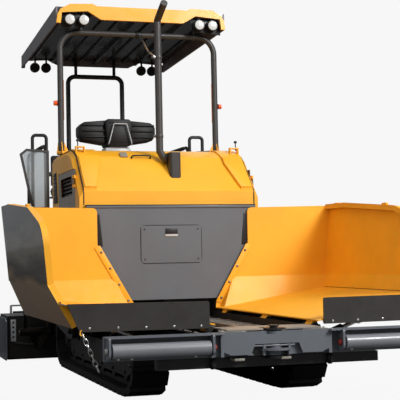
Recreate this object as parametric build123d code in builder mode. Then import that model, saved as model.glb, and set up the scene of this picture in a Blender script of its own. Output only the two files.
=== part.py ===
from build123d import *

import os
from math import acos, atan2, cos, hypot, pi, radians, sin

# Tracked asphalt paver, millimetres. +Z is up, the hopper faces -Y, and the origin is on the
# ground at the middle of the machine. "left" is the operator's left hand, on the +X side.

os.makedirs("parts", exist_ok=True)

# Stations along the machine
WING_REAR_Y = -590.0          # front face of the wings' rear plates, ahead of the bulkhead
TRACK_FRONT_Y = WING_REAR_Y - 1590.0
TRACK_REAR_Y = WING_REAR_Y + 1740.0
HOPPER_FRONT_Y = WING_REAR_Y - 2355.0
HOOD_FRONT_Y = WING_REAR_Y + 86.0
HOOD_REAR_Y = WING_REAR_Y + 1400.0
CHASSIS_REAR_Y = WING_REAR_Y + 1900.0
AUGER_Y = WING_REAR_Y + 2150.0
SCREED_FRONT_Y = WING_REAR_Y + 2400.0
DECK_REAR_Y = WING_REAR_Y + 3420.0
WALKWAY_REAR_Y = WING_REAR_Y + 3786.0
PLAY = 0.3                    # gap between pieces that run beside each other
BORE_PLAY = 0.05              # radial clearance of a pin in its bore
MOVE_GAP = 10.0               # gap between a moving panel and what it passes

# Tracks
TRACK_INNER_X = 545.0
SHOE_WIDTH = 305.0
TRACK_X = TRACK_INNER_X + SHOE_WIDTH / 2
TRACK_TOP = 600.0
LINKS = 43
PAD_TOP = 55.0                # pad face above the line of the link pins
PLATE_TOP = 22.0
PLATE_BOTTOM = -12.0
RAIL_BOTTOM = -50.0
RAIL_WIDTH = 90.0
PAD_GAP = 12.0
IDLER_LIFT = 4.0              # the idler's loop end is this much shorter than the sprocket's
SPROCKET_Z = TRACK_TOP / 2
SPROCKET_PIN_R = TRACK_TOP / 2 - PAD_TOP
IDLER_PIN_R = SPROCKET_PIN_R - IDLER_LIFT
IDLER_Z = SPROCKET_Z + IDLER_LIFT
IDLER_Y = TRACK_FRONT_Y + IDLER_PIN_R + PAD_TOP
SPROCKET_Y = TRACK_REAR_Y - SPROCKET_PIN_R - PAD_TOP
ROLLER_R = 65.0
ROLLERS = 6
ROLLER_Z = PAD_TOP - RAIL_BOTTOM + ROLLER_R + PLAY
CARRIER_R = 45.0
CARRIER_Z = TRACK_TOP - PAD_TOP + RAIL_BOTTOM - CARRIER_R - PLAY
FLANGE_R = 12.0
FLANGE_WIDTH = 10.0
ROLLER_LENGTH = RAIL_WIDTH + 4.0
FRAME_HALF = 86.0             # half the distance between the outer faces of a track frame
FRAME_WALL = 14.0
SPROCKET_TEETH = 12
CHORD_DROP = 22.0             # the rail runs straight between pins, this far inside their circle

# Chassis and conveyor
SIDE_X = 470.0                # middle of each long side plate
SIDE_WALL = 30.0
CHASSIS_BOTTOM = 330.0
SILL_TOP = 560.0
ENGINE_FLOOR = 1000.0
PLATE = 12.0
BODY_HALF = 900.0
SKIRT_BOTTOM = TRACK_TOP + 45.0
CONVEYOR_HALF = 400.0
CONVEYOR_PAN = 520.0
SLAT_PITCH = 250.0
SLAT_HEIGHT = 26.0
SLAT_WIDTH = 45.0
CONVEYOR_SHAFT_R = 60.0
EYE_X = 460.0
EYE_PLATE = 20.0
EYE_R = 22.0
EYE_HALF = 45.0               # half the height of an eye's plate
EYE_REACH = 34.0              # the eye's centre stands this far off its plate's root
EYE_TIP = 62.0
EYE_FRONT_Z = 370.0
EYE_REAR_Z = 475.0

# Hopper wings: a folded plate that hinges beside the conveyor
HINGE_X = 430.0
HINGE_Z = 600.0
HINGE_PIN_R = 15.0
KNUCKLE_R = 28.0
KNUCKLE_LENGTH = 120.0
HINGE_STATIONS = (-2180.0, -1250.0, -250.0)
WING_WALL = 10.0
FLOOR_INNER = (415.0, 652.0)
FLOOR_OUTER_Z = 825.0
SIDE_FOOT = (1455.0, 646.0)   # lower end of the slanted side plate
CREASE = (1592.0, 957.0)      # where the slanted side plate meets the wall
WALL_TOP = (1656.0, 1652.0)
WALL_REAR = 60.0              # the side wall runs this far behind the rear plate's face
SIDE_FRONT = (1952.0,
              2165.0)                # the side's front edge ahead of the rear plate: at the crease, at the foot
REAR_PLATE = 12.0
REAR_INNER_X = 763.0
KNEE_Z = 1279.0
REAR_TOP_Z = 1626.0
RAMP_TOP = 950.0              # the ramp in front of the rear plate: its top, its foot, how far it comes forward
RAMP_FOOT = 660.0
RAMP_RUN = 102.0
RAMP_INNER = (603.0, 467.0)   # its inner end at the top and at the foot
RIM_WIDTH = 40.0
HEM = 48.0
HEM_WALL = 6.0
APRON_TOP = 822.0
APRON_BOTTOM = 622.0
APRON_INNER_X = 462.0
APRON_TIP_X = 1536.0
APRON_FOOT_X = 1447.0
APRON_PLATE = 12.0
APRON_STRIP = 46.0
LIP_BOTTOM = 632.0
SEAL = (389.0, 397.0)         # rubber strip beside the conveyor: inner and outer face
SEAL_TOP = 612.0

# Wing cylinders, in the plane across the machine at their own station
WING_RAM_Y = WING_REAR_Y - 1750.0
RAM_BASE = (530.0, 400.0)
RAM_EYE = (1050.0, 600.0)
RAM_PIN_R = 15.0
RAM_EYE_PLAY = 9.0            # the rod's eye may drift this far from its pin
RAM_TUBE_R = 34.0
RAM_ROD_R = 18.0
RAM_TUBE_LENGTH = 400.0

# Bulkhead and hatch
BULKHEAD_Y = WING_REAR_Y + REAR_PLATE + 14.0
BULKHEAD = 8.0
BULKHEAD_HALF = BODY_HALF - 40.0
BULKHEAD_BOTTOM = 742.0
HATCH = (-325.0, 285.0, 1095.0, 1455.0)      # left, right, bottom, top
HATCH_PLATE = 5.0
HATCH_HOLE = (20.0, 60.0, 1365.0)            # half-width, height, bottom

# Hood
HOOD_HALF = BODY_HALF + 14.0
HOOD_WALL = 8.0
HOOD_BAND_BOTTOM = 1651.0
HOOD_BAND_TOP = 1795.0
HOOD_SHOULDER = (330.0, 2160.0)              # end of the flat slope: behind the front, height
HOOD_TOP_Z = 2245.0
HOOD_SHOULDER_STEPS = ((405.0, 0.42), (490.0, 0.78), (590.0, 1.0))   # behind the front, share of the rise
HOOD_CORNER = 45.0
# X, distance behind the hood's front
CHEEK_INNER = ((HOOD_HALF - 172.0, 8.0), (HOOD_HALF - 269.0, 257.0), (HOOD_HALF - 279.0, 1000.0))
CHEEK_RAISE = 14.0
DOOR_FRONT_Y = HOOD_FRONT_Y + 190.0
DOOR_REAR_Y = HOOD_FRONT_Y + 1050.0
DOOR_BOTTOM = 1080.0
DOOR_TOP = 2030.0
DOOR_GAP = 6.0
DOOR_PIN_R = 8.0
DOOR_KNUCKLE_R = 12.0
DOOR_PIN_X = HOOD_HALF + 16.0
DOOR_HINGES = (DOOR_BOTTOM + 130.0, DOOR_TOP - 130.0)
DOOR_KNUCKLE = 60.0           # length of a knuckle; its two collars are half as long
VENTS = 3
VENT_HEIGHT = 190.0
VENT_SLANT = 45.0

# Platform, console, seats and rails
DECK_TOP = 1550.0
DECK = 50.0
ARM_X = BODY_HALF + 43.0      # middle of each tow arm
DECK_HALF = ARM_X + 7.0
REAR_BODY_HALF = BODY_HALF - 25.0
CONSOLE_Y = WING_REAR_Y + 2100.0
CONSOLE_X = -40.0
CONSOLE_HALF = 470.0
CONSOLE_BOTTOM = 2430.0
CONSOLE_TOP = 2745.0
GUARD_R = 6.0
SEAT_X = 470.0
SEAT_Y = WING_REAR_Y + 2700.0
SEAT_HEIGHT = 430.0
RAIL_R = 19.0
RAIL_INNER = -90.0            # legs of each rail, from the deck's side
RAIL_OUTER = 70.0
SCREEN_Y = WING_REAR_Y + 2045.0

# Canopy
CANOPY_FRONT_Y = WING_REAR_Y + 991.0
CANOPY_REAR_Y = WING_REAR_Y + 3371.0
CANOPY_HALF = BODY_HALF + 38.0
CANOPY_DROP = 100.0           # how much lower the rear edge is than the front
FASCIA = 30.0
ROOF_FRONT_Z = 3800.0
ROOF_PLATE = 30.0
CANOPY_TIP_Z = ROOF_FRONT_Z - 178.0
CANOPY_REAR_TIP_Z = ROOF_FRONT_Z - 244.0
ROOF_RIBS = (-540.0, 0.0, 540.0)
RIB_DEPTH = 45.0
POST_Y = WING_REAR_Y + 1190.0
POST_X = BODY_HALF - 34.0
POST_R = 32.0
PAD_R = 44.0
HOOP_Z = ROOF_FRONT_Z - 233.0
HOOP_BEND = 190.0
HOOP_PEG_X = 640.0
MARKER_Z = 2800.0
ARCH_Y = WING_REAR_Y + 3300.0
ARCH_X = 352.0
ARCH_R = 29.0
ARCH_TOP = ROOF_FRONT_Z - 345.0
PEG_X = 250.0
PEG_R = 20.0
LAMP_R = 58.0
LAMP_DEPTH = 55.0
STEM_R = 12.0
FRONT_LAMPS = (CANOPY_HALF - 296.0, CANOPY_HALF - 145.0)
FRONT_LAMP_Z = ROOF_FRONT_Z - 138.0
REAR_LAMPS = (CANOPY_HALF - 313.0, CANOPY_HALF - 171.0)
REAR_LAMP_Z = ROOF_FRONT_Z - 237.0

# Exhaust
PIPE_X = -32.0
PIPE_Y = WING_REAR_Y + 330.0
PIPE_R = 36.0
PIPE_BEND_Z = 3540.0
PIPE_TIP = (250.0, 3660.0)    # how far forward the tip leans, height of its end
STACK_X = 96.0
STACK_Y = WING_REAR_Y + 209.0
STACK_WIDTH = 116.0
STACK_DEPTH = 210.0
STACK_ROUND = 26.0
STACK_TOP = 2190.0
ELBOW_Z = 2135.0
ELBOW_RUN = 45.0
ELBOW_RISE = 75.0
ELBOW_BEND = 28.0

# Push beam and its rollers
PUSH_PIVOT_Y = HOPPER_FRONT_Y - 110.0
PUSH_PIVOT_R = 30.0
PUSH_HUB_R = 60.0
PUSH_ROLLER_Y = HOPPER_FRONT_Y - 199.0
PUSH_ROLLER_Z = 497.0
PUSH_ROLLER_R = 52.0
PUSH_ROLLER_INNER = 533.0
PUSH_ROLLER_OUTER = 1262.0
PUSH_AXLE_R = 20.0
PUSH_BRACKET = 16.0
BEAM_HALF = 1300.0
BEAM_TOP = 595.0
BEAM_BOTTOM = 420.0
NOSE_HALF = 440.0
NOSE_BOTTOM = 430.0
NOSE_NOTCH = (175.0, 505.0)   # half-width and top of the notch over the hitch disc
HITCH_DISC = (125.0, 455.0, 470.0)           # radius, bottom, top
CROSS_HALF = 885.0
CROSS_BOTTOM = 330.0
CROSS_TOP = 406.0
COVER = (375.0, 604.0, 614.0) # plate over the conveyor's front end: half-width, bottom, top
COVER_NOTCH = 90.0

# Augers
AUGER_Z = 330.0
AUGER_R = 200.0
AUGER_SHAFT_R = 45.0
AUGER_INNER_X = 95.0
AUGER_OUTER_X = 1180.0
AUGER_PITCH = 310.0
FLIGHT = 12.0
AUGER_HANGER = (840.0, 870.0)
AUGER_BEAM = (790.0, 910.0)
AUGER_STEPS = 24              # wedges in one turn of a flight
AUGER_HOLES = (4, 64.0, 6.5, 30.0)           # bolt holes in the outer end: count, circle, radius, depth

# Screed and its tow arms
TOW_Y = WING_REAR_Y + 350.0
TOW_Z = 450.0
TOW_PIN_R = 30.0
ARM_PLATE = 36.0
ARM_FOOT = 440.0              # how far the arm's foot reaches back into the screed
ARM_FOOT_Z = 200.0
SCREED_HALF = ARM_X + 332.0
SCREED_TOP = 500.0
SCREED_DEPTH = 640.0
SOLE = 20.0
SCREED_WALL = 25.0
GUIDE_BOTTOM = 60.0
GUIDE_TOP = 460.0
DEFLECTOR_TOP = 700.0
WALKWAY_Z = 400.0
GATE_X = SCREED_HALF + 25.0
GATE_PLATE = 14.0
GATE_TOP = 480.0
GATE_FLANGE = 90.0
LIFT_BASE = (WING_REAR_Y + 1500.0, 1240.0)
LIFT_EYE = (WING_REAR_Y + 1900.0, 778.0)
LIFT_TUBE_R = 30.0
LIFT_TUBE_LENGTH = 330.0
LIFT_ROD_R = 16.0
LIFT_PIN_R = 10.0


def outline(points, plane, rounds=()):
    """Face on a plane through the points, with (point index, radius) corners rounded."""
    with BuildSketch(plane) as face:
        with BuildLine():
            Polyline(*points, close=True)
        make_face()
        for index, radius in rounds:
            corner = Vector(*points[index])
            fillet(face.vertices().sort_by_distance(corner)[0], radius)
    return face.sketch


def across(y):
    """Plane across the machine at station y: local x is X, local y is Z, out of it is -Y."""
    return Plane.XZ.offset(-y)


def along(x):
    """Plane along the machine at x: local x is Y, local y is Z, out of it is +X."""
    return Plane.YZ.offset(x)


def folded(points, wall):
    """Closed outline of a sheet folded along the points, its wall on their right hand."""
    normals = []
    for (ax, ay), (bx, by) in zip(points, points[1:]):
        run = hypot(bx - ax, by - ay)
        normals.append(((by - ay) / run, -(bx - ax) / run))
    far = []
    for index, (px, py) in enumerate(points):
        first = normals[max(index - 1, 0)]
        second = normals[min(index, len(normals) - 1)]
        scale = wall / (1.0 + first[0] * second[0] + first[1] * second[1])
        far.append((px + (first[0] + second[0]) * scale, py + (first[1] + second[1]) * scale))
    return list(points) + far[::-1]


def block(x, y, z, mode=Mode.ADD):
    """Box between the low and high of three (low, high) pairs."""
    middle = ((x[0] + x[1]) / 2, (y[0] + y[1]) / 2, (z[0] + z[1]) / 2)
    with Locations(middle):
        Box(x[1] - x[0], y[1] - y[0], z[1] - z[0], mode=mode)


def bar(start, end, radius, mode=Mode.ADD):
    """Round bar from start to end."""
    start, end = Vector(*start), Vector(*end)
    line = end - start
    with Locations(Plane(origin=start, z_dir=line).location):
        Cylinder(radius, line.length, align=(Align.CENTER, Align.CENTER, Align.MIN), mode=mode)


def tube(points, radius, bend):
    """Round tube along straight runs joined by arcs of radius bend."""
    with BuildLine() as path:
        FilletPolyline(*points, radius=bend)
    with BuildSketch(Plane(origin=path.line @ 0, z_dir=path.line % 0)) as ring:
        Circle(radius)
    sweep(ring.sketch, path=path.line)


def write(piece, name):
    """Label a finished piece and write it to its own file."""
    piece.label = name
    export_step(piece, f"parts/{name}.step")


def write_pair(piece, name):
    """Write the left piece, made on the +X side, and its mirror image on the right."""
    write(piece, name + "_left")
    write(mirror(piece, about=Plane.YZ), name + "_right")


def belt(circles, count):
    """Points at equal steps round a belt that is stretched over (y, z, radius) circles."""
    spans = []
    for (ay, az, ar), (by, bz, br) in zip(circles, circles[1:] + circles[:1]):
        run = hypot(by - ay, bz - az)
        normal = atan2(bz - az, by - ay) - acos((ar - br) / run)
        spans.append((normal, (ay, az, ar), (by, bz, br)))
    pieces = []
    for index, (normal, first, second) in enumerate(spans):
        start = (first[0] + first[2] * cos(normal), first[1] + first[2] * sin(normal))
        end = (second[0] + second[2] * cos(normal), second[1] + second[2] * sin(normal))
        pieces.append((hypot(end[0] - start[0], end[1] - start[1]), start, end, None))
        turn = (spans[(index + 1) % len(spans)][0] - normal) % (2 * pi)
        pieces.append((second[2] * turn, second, normal, turn))
    total = sum(piece[0] for piece in pieces)
    points = []
    for index in range(count):
        rest = total * index / count
        for length, first, second, turn in pieces:
            if rest <= length:
                break
            rest -= length
        share = rest / length
        if turn is None:
            points.append((first[0] + (second[0] - first[0]) * share,
                           first[1] + (second[1] - first[1]) * share))
        else:
            angle = second + turn * share
            points.append((first[0] + first[2] * cos(angle), first[1] + first[2] * sin(angle)))
    return points


def ring_points(pins, height):
    """The pins' polygon moved out by height, with its corners kept sharp."""
    moved = []
    for index, (py, pz) in enumerate(pins):
        (ay, az), (by, bz) = pins[index - 1], pins[(index + 1) % len(pins)]
        first = atan2(pz - az, py - ay) - pi / 2
        second = atan2(bz - pz, by - py) - pi / 2
        ny, nz = cos(first) + cos(second), sin(first) + sin(second)
        scale = height * 2 / (ny * ny + nz * nz)
        moved.append((py + ny * scale, pz + nz * scale))
    return moved


def shoe_points(pins):
    """Outer outline of the loop: one pad a link, with a gap between neighbours."""
    points = []
    for (py, pz), (qy, qz) in zip(pins, pins[1:] + pins[:1]):
        run = hypot(qy - py, qz - pz)
        uy, uz = (qy - py) / run, (qz - pz) / run
        steps = ((PAD_GAP, PLATE_TOP), (PAD_GAP + 6.0, PAD_TOP),
                 (run - PAD_GAP - 6.0, PAD_TOP), (run - PAD_GAP, PLATE_TOP))
        points += [(py + uy * way + uz * rise, pz + uz * way - uy * rise) for way, rise in steps]
    return points


# Tracks: one closed loop a side, pads and link rails in its outline
circles = [(IDLER_Y, IDLER_Z, IDLER_PIN_R),
           (IDLER_Y + 200.0, PAD_TOP + ROLLER_R, ROLLER_R),
           (SPROCKET_Y, SPROCKET_Z, SPROCKET_PIN_R)]
pins = belt(circles, LINKS)
with BuildPart() as track:
    shoes = outline(shoe_points(pins), along(TRACK_INNER_X))
    extrude(shoes, amount=SHOE_WIDTH)
    inner = outline(ring_points(pins, PLATE_BOTTOM), along(TRACK_INNER_X))
    extrude(inner, amount=SHOE_WIDTH, mode=Mode.SUBTRACT)
    with BuildSketch(along(TRACK_X - RAIL_WIDTH / 2)):
        add(outline(ring_points(pins, PLATE_BOTTOM + 1.0), Plane.XY))
        add(outline(ring_points(pins, RAIL_BOTTOM), Plane.XY), mode=Mode.SUBTRACT)
    extrude(amount=RAIL_WIDTH)
write_pair(track.part, "track")

# Wheels that carry the track: idler, sprocket, bottom rollers and carrier rollers
IDLER_R = IDLER_PIN_R + RAIL_BOTTOM - CHORD_DROP
SPROCKET_R = SPROCKET_PIN_R + RAIL_BOTTOM - CHORD_DROP
ground_pins = [py for py, pz in pins if pz < PAD_TOP + 0.5]
roller_low = min(ground_pins) + 25.0
roller_high = max(ground_pins) - 120.0
with BuildPart() as wheels:
    for index in range(ROLLERS):
        y = roller_low + (roller_high - roller_low) * index / (ROLLERS - 1)
        bar((TRACK_X - ROLLER_LENGTH / 2, y, ROLLER_Z), (TRACK_X + ROLLER_LENGTH / 2, y, ROLLER_Z), ROLLER_R)
        for side in (-1, 1):
            edge = TRACK_X + side * ROLLER_LENGTH / 2
            bar((edge, y, ROLLER_Z), (edge + side * FLANGE_WIDTH, y, ROLLER_Z), ROLLER_R + FLANGE_R)
            bar((edge, y, ROLLER_Z), (TRACK_X + side * (FRAME_HALF - FRAME_WALL), y, ROLLER_Z), 24.0)
    for y in (IDLER_Y + 850.0, IDLER_Y + 1650.0):
        bar((TRACK_X - 40.0, y, CARRIER_Z), (TRACK_X + 40.0, y, CARRIER_Z), CARRIER_R)
    for side in (-1, 1):
        edge = TRACK_X + side * 40.0
        bar((TRACK_X, IDLER_Y, IDLER_Z), (edge, IDLER_Y, IDLER_Z), IDLER_R)
        bar((edge, IDLER_Y, IDLER_Z), (edge + side * 8.0, IDLER_Y, IDLER_Z), IDLER_R - 30.0)
        bar((edge, IDLER_Y, IDLER_Z), (TRACK_X + side * (FRAME_HALF - FRAME_WALL), IDLER_Y, IDLER_Z), 45.0)
    with BuildSketch(along(TRACK_X - 32.0)):
        with Locations((SPROCKET_Y, SPROCKET_Z)):
            Circle(SPROCKET_R - 24.0)
            with PolarLocations(SPROCKET_R - 20.0, SPROCKET_TEETH):
                Trapezoid(44.0, 40.0, 75.0, rotation=-90.0)
    extrude(amount=64.0)
    bar((TRACK_X - 32.0, SPROCKET_Y, SPROCKET_Z), (TRACK_X + 60.0, SPROCKET_Y, SPROCKET_Z), 95.0)
    mirror(about=Plane.YZ)
write(wheels.part, "track_wheels")

# Track frames: two long plates a side, closed on top, that hold the roller axles
FRAME_FRONT = IDLER_Y - 70.0
FRAME_REAR = SPROCKET_Y - 215.0
FRAME_TOP = CARRIER_Z - CARRIER_R - 6.0
with BuildPart() as track_frames:
    shape = [(FRAME_FRONT, IDLER_Z - 60.0), (IDLER_Y + 170.0, 150.0), (FRAME_REAR - 60.0, 150.0),
             (FRAME_REAR, 210.0), (FRAME_REAR, FRAME_TOP), (IDLER_Y + 190.0, FRAME_TOP),
             (IDLER_Y + 60.0, IDLER_Z + 70.0), (FRAME_FRONT, IDLER_Z + 60.0)]
    for x in (TRACK_X - FRAME_HALF, TRACK_X + FRAME_HALF - FRAME_WALL):
        extrude(outline(shape, along(x)), amount=FRAME_WALL)
    reach = (TRACK_X - FRAME_HALF, TRACK_X + FRAME_HALF)
    block(reach, (IDLER_Y + 195.0, FRAME_REAR), (FRAME_TOP - FRAME_WALL, FRAME_TOP))
    for y in (IDLER_Y + 850.0, IDLER_Y + 1650.0):
        for side in (-1, 1):
            foot = TRACK_X + side * 54.0
            block((foot - 7.0, foot + 7.0), (y - 25.0, y + 25.0), (FRAME_TOP - 1.0, CARRIER_Z + 12.0))
            bar((TRACK_X + side * 40.0, y, CARRIER_Z), (foot, y, CARRIER_Z), 15.0)
    mirror(about=Plane.YZ)
write(track_frames.part, "track_frames")

# Frame rails: side plates with the lugs and pins of the wings and their cylinders
SIDE_IN = SIDE_X - SIDE_WALL / 2
SIDE_OUT = SIDE_X + SIDE_WALL / 2
FRONT_PLATE_Y = HOPPER_FRONT_Y + 35.0
FLOOR_BOTTOM = ENGINE_FLOOR - PLATE
RAM_LUG = (38.0, 52.0)


def lashing_eye(y, z, way):
    """Plate with a round eye that stands out from y, forward for way -1 and back for way 1."""
    tip = y + way * EYE_TIP
    bevel = y + way * EYE_TIP / 2
    plate = [(y, z - EYE_HALF), (bevel, z - EYE_HALF), (tip, z - EYE_HALF / 2), (tip, z + EYE_HALF / 2),
             (bevel, z + EYE_HALF), (y, z + EYE_HALF)]
    extrude(outline(plate, along(EYE_X)), amount=EYE_PLATE)
    centre = y + way * EYE_REACH
    bar((EYE_X - 1.0, centre, z), (EYE_X + EYE_PLATE + 1.0, centre, z), EYE_R, mode=Mode.SUBTRACT)


with BuildPart() as rails:
    side = [(FRONT_PLATE_Y, CHASSIS_BOTTOM), (CHASSIS_REAR_Y, CHASSIS_BOTTOM), (CHASSIS_REAR_Y, FLOOR_BOTTOM),
            (BULKHEAD_Y + BULKHEAD, FLOOR_BOTTOM), (BULKHEAD_Y + BULKHEAD, SILL_TOP), (FRONT_PLATE_Y,
                                                                                       SILL_TOP)]
    extrude(outline(side, along(SIDE_IN)), amount=SIDE_WALL)
    # Lugs that hold the wing's hinge pins, and the pins in them
    for station in HINGE_STATIONS:
        middle = WING_REAR_Y + station
        for edge in (-1, 1):
            y = middle + edge * (KNUCKLE_LENGTH / 2 + 5.0 + 9.0)
            lug = [(SIDE_IN - 50.0, SILL_TOP - 60.0), (SIDE_IN + 10.0, SILL_TOP - 60.0),
                   (HINGE_X + KNUCKLE_R, HINGE_Z), (HINGE_X + KNUCKLE_R, HINGE_Z + KNUCKLE_R),
                   (HINGE_X - KNUCKLE_R, HINGE_Z + KNUCKLE_R), (SIDE_IN - 55.0, SILL_TOP)]
            extrude(outline(lug, across(y - 9.0), rounds=((3, 20.0), (4, 20.0))), amount=-18.0)
        reach = KNUCKLE_LENGTH / 2 + 24.0
        bar((HINGE_X, middle - reach, HINGE_Z), (HINGE_X, middle + reach, HINGE_Z), HINGE_PIN_R)
    # Lugs and pin at the foot of the wing cylinder
    for edge in (-1, 1):
        near, far = edge * RAM_LUG[0], edge * RAM_LUG[1]
        y = (WING_RAM_Y + min(near, far), WING_RAM_Y + max(near, far))
        block((SIDE_OUT - 1.0, RAM_BASE[0] + 24.0), y, (RAM_BASE[1] - 32.0, RAM_BASE[1] + 32.0))
    pin = (WING_RAM_Y - RAM_LUG[1], WING_RAM_Y + RAM_LUG[1])
    bar((RAM_BASE[0], pin[0], RAM_BASE[1]), (RAM_BASE[0], pin[1], RAM_BASE[1]), RAM_PIN_R)
    lashing_eye(CHASSIS_REAR_Y, EYE_REAR_Z, 1)
    mirror(about=Plane.YZ)
write(rails.part, "frame_rails")

# Beams from the rails out to the track frames, and the housings of the final drives
with BuildPart() as beams:
    for y in (IDLER_Y + 500.0, SPROCKET_Y - 620.0):
        height = (240.0, FRAME_TOP - FRAME_WALL - 20.0)
        block((SIDE_OUT, TRACK_X - FRAME_HALF), (y - 90.0, y + 90.0), height)
    bar((SIDE_OUT, SPROCKET_Y, SPROCKET_Z), (TRACK_X - 32.0, SPROCKET_Y, SPROCKET_Z), 110.0)
    mirror(about=Plane.YZ)
write(beams.part, "track_beams")

# Cross members between the rails, under the conveyor
with BuildPart() as members:
    for station in (-1500.0, -650.0, 200.0, 1000.0, 1700.0):
        y = WING_REAR_Y + station
        block((-SIDE_IN, SIDE_IN), (y - 40.0, y + 40.0), (CHASSIS_BOTTOM + 40.0, CONVEYOR_PAN))
write(members.part, "cross_members")

# Front crossbeam with its lashing eyes and the upright that holds the push beam's pivot
with BuildPart() as crossbeam:
    lashing_eye(FRONT_PLATE_Y - 80.0, EYE_FRONT_Z, -1)
    mirror(about=Plane.YZ)
    front = (FRONT_PLATE_Y - PLATE, FRONT_PLATE_Y)
    block((-SIDE_OUT, SIDE_OUT), front, (CROSS_BOTTOM, CONVEYOR_PAN - 20.0))
    block((-CROSS_HALF, CROSS_HALF), (FRONT_PLATE_Y - 80.0, FRONT_PLATE_Y), (CROSS_BOTTOM, CROSS_TOP))
    lug_y = (PUSH_PIVOT_Y, FRONT_PLATE_Y - 20.0)
    for low, high, half in ((CROSS_TOP - 12.0, CROSS_TOP + 6.0, 60.0),
                            (BEAM_TOP + 7.0, BEAM_TOP + 21.0, 70.0)):
        block((-half, half), lug_y, (low, high))
        bar((0.0, PUSH_PIVOT_Y, low), (0.0, PUSH_PIVOT_Y, high), half)
    block((-70.0, 70.0), (PUSH_PIVOT_Y + PUSH_HUB_R + 15.0, FRONT_PLATE_Y - 20.0),
          (CROSS_TOP - 12.0, BEAM_TOP + 21.0))
    bar((0.0, PUSH_PIVOT_Y, CROSS_TOP - 12.0), (0.0, PUSH_PIVOT_Y, BEAM_TOP + 34.0), PUSH_PIVOT_R)
write(crossbeam.part, "front_crossbeam")

# Cover plate over the conveyor's front end, with a notch for the push beam's pivot
with BuildPart() as cover:
    half, low, high = COVER
    rear_y = FRONT_PLATE_Y + 150.0
    upright_y = FRONT_PLATE_Y - 20.0
    shape = [(70.0, upright_y - 60.0), (COVER_NOTCH, upright_y - 60.0), (COVER_NOTCH, PUSH_PIVOT_Y - 20.0),
             (half, PUSH_PIVOT_Y - 20.0),
             (half, rear_y)]
    with BuildSketch(Plane.XY.offset(low)):
        with BuildLine():
            Polyline(*shape, *[(-x, y) for x, y in shape[::-1]], (-70.0, upright_y), (70.0, upright_y),
                     close=True)
        make_face()
    extrude(amount=high - low)
write(cover.part, "conveyor_cover")

# Engine floor over the conveyor tunnel, skirts over the tracks and the brackets of the tow points
with BuildPart() as floor:
    floor_y = (BULKHEAD_Y + BULKHEAD, CHASSIS_REAR_Y)
    block((BODY_HALF - PLATE, BODY_HALF), floor_y, (SKIRT_BOTTOM, ENGINE_FLOOR))
    for y in ((floor_y[0], floor_y[0] + PLATE), (floor_y[1] - PLATE, floor_y[1])):
        block((SIDE_OUT, BODY_HALF), y, (SKIRT_BOTTOM, ENGINE_FLOOR))
    tow = [(TOW_Y - 90.0, TOW_Z - 90.0), (TOW_Y + 90.0, TOW_Z - 90.0), (TOW_Y + 160.0, ENGINE_FLOOR),
           (TOW_Y - 160.0, ENGINE_FLOOR)]
    extrude(outline(tow, along(BODY_HALF - PLATE)), amount=PLATE + 8.0)
    bar((BODY_HALF, TOW_Y, TOW_Z), (ARM_X + ARM_PLATE / 2 + 30.0, TOW_Y, TOW_Z), TOW_PIN_R)
    mirror(about=Plane.YZ)
    block((-BODY_HALF, BODY_HALF), floor_y, (FLOOR_BOTTOM, ENGINE_FLOOR))
    block((-SIDE_IN, SIDE_IN), floor_y, (FLOOR_BOTTOM - 60.0, FLOOR_BOTTOM + 1.0))
write(floor.part, "engine_floor")

# Conveyor: two slatted belts side by side on one pan, with a divider between them
CONVEYOR_FRONT = FRONT_PLATE_Y + PLATE + CONVEYOR_SHAFT_R
CONVEYOR_REAR = CHASSIS_REAR_Y - 40.0
PAN = 14.0
with BuildPart() as conveyor:
    block((-CONVEYOR_HALF, CONVEYOR_HALF), (CONVEYOR_FRONT, CONVEYOR_REAR),
          (CONVEYOR_PAN, CONVEYOR_PAN + PAN))
    block((-22.0, 22.0), (CONVEYOR_FRONT, CONVEYOR_REAR),
          (CONVEYOR_PAN, CONVEYOR_PAN + PAN + SLAT_HEIGHT + 22.0))
    for side in (-1, 1):
        edge = side * (CONVEYOR_HALF - 15.0)
        block((edge - 15.0, edge + 15.0), (CONVEYOR_FRONT, CONVEYOR_REAR),
              (CONVEYOR_PAN, CONVEYOR_PAN + PAN + 16.0))
    for index in range(1, int((CONVEYOR_REAR - CONVEYOR_FRONT) / SLAT_PITCH)):
        y = CONVEYOR_FRONT + SLAT_PITCH * index
        reach = (-CONVEYOR_HALF, CONVEYOR_HALF)
        block(reach, (y - SLAT_WIDTH / 2, y + SLAT_WIDTH / 2),
              (CONVEYOR_PAN + PAN - 2.0, CONVEYOR_PAN + PAN + SLAT_HEIGHT))
    for y in (CONVEYOR_FRONT, CONVEYOR_REAR):
        z = CONVEYOR_PAN + PAN + 2.0 - CONVEYOR_SHAFT_R / 2
        bar((-CONVEYOR_HALF, y, z), (CONVEYOR_HALF, y, z), CONVEYOR_SHAFT_R / 2 + 6.0)
write(conveyor.part, "conveyor")

# Rubber strips that close the gap between the conveyor and the wings
with BuildPart() as seals:
    seal_y = (HOPPER_FRONT_Y + APRON_PLATE + 5.0, BULKHEAD_Y - 5.0)
    block(SEAL, seal_y, (CONVEYOR_PAN + PAN + SLAT_HEIGHT, SEAL_TOP))
    mirror(about=Plane.YZ)
write(seals.part, "conveyor_seals")

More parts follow.
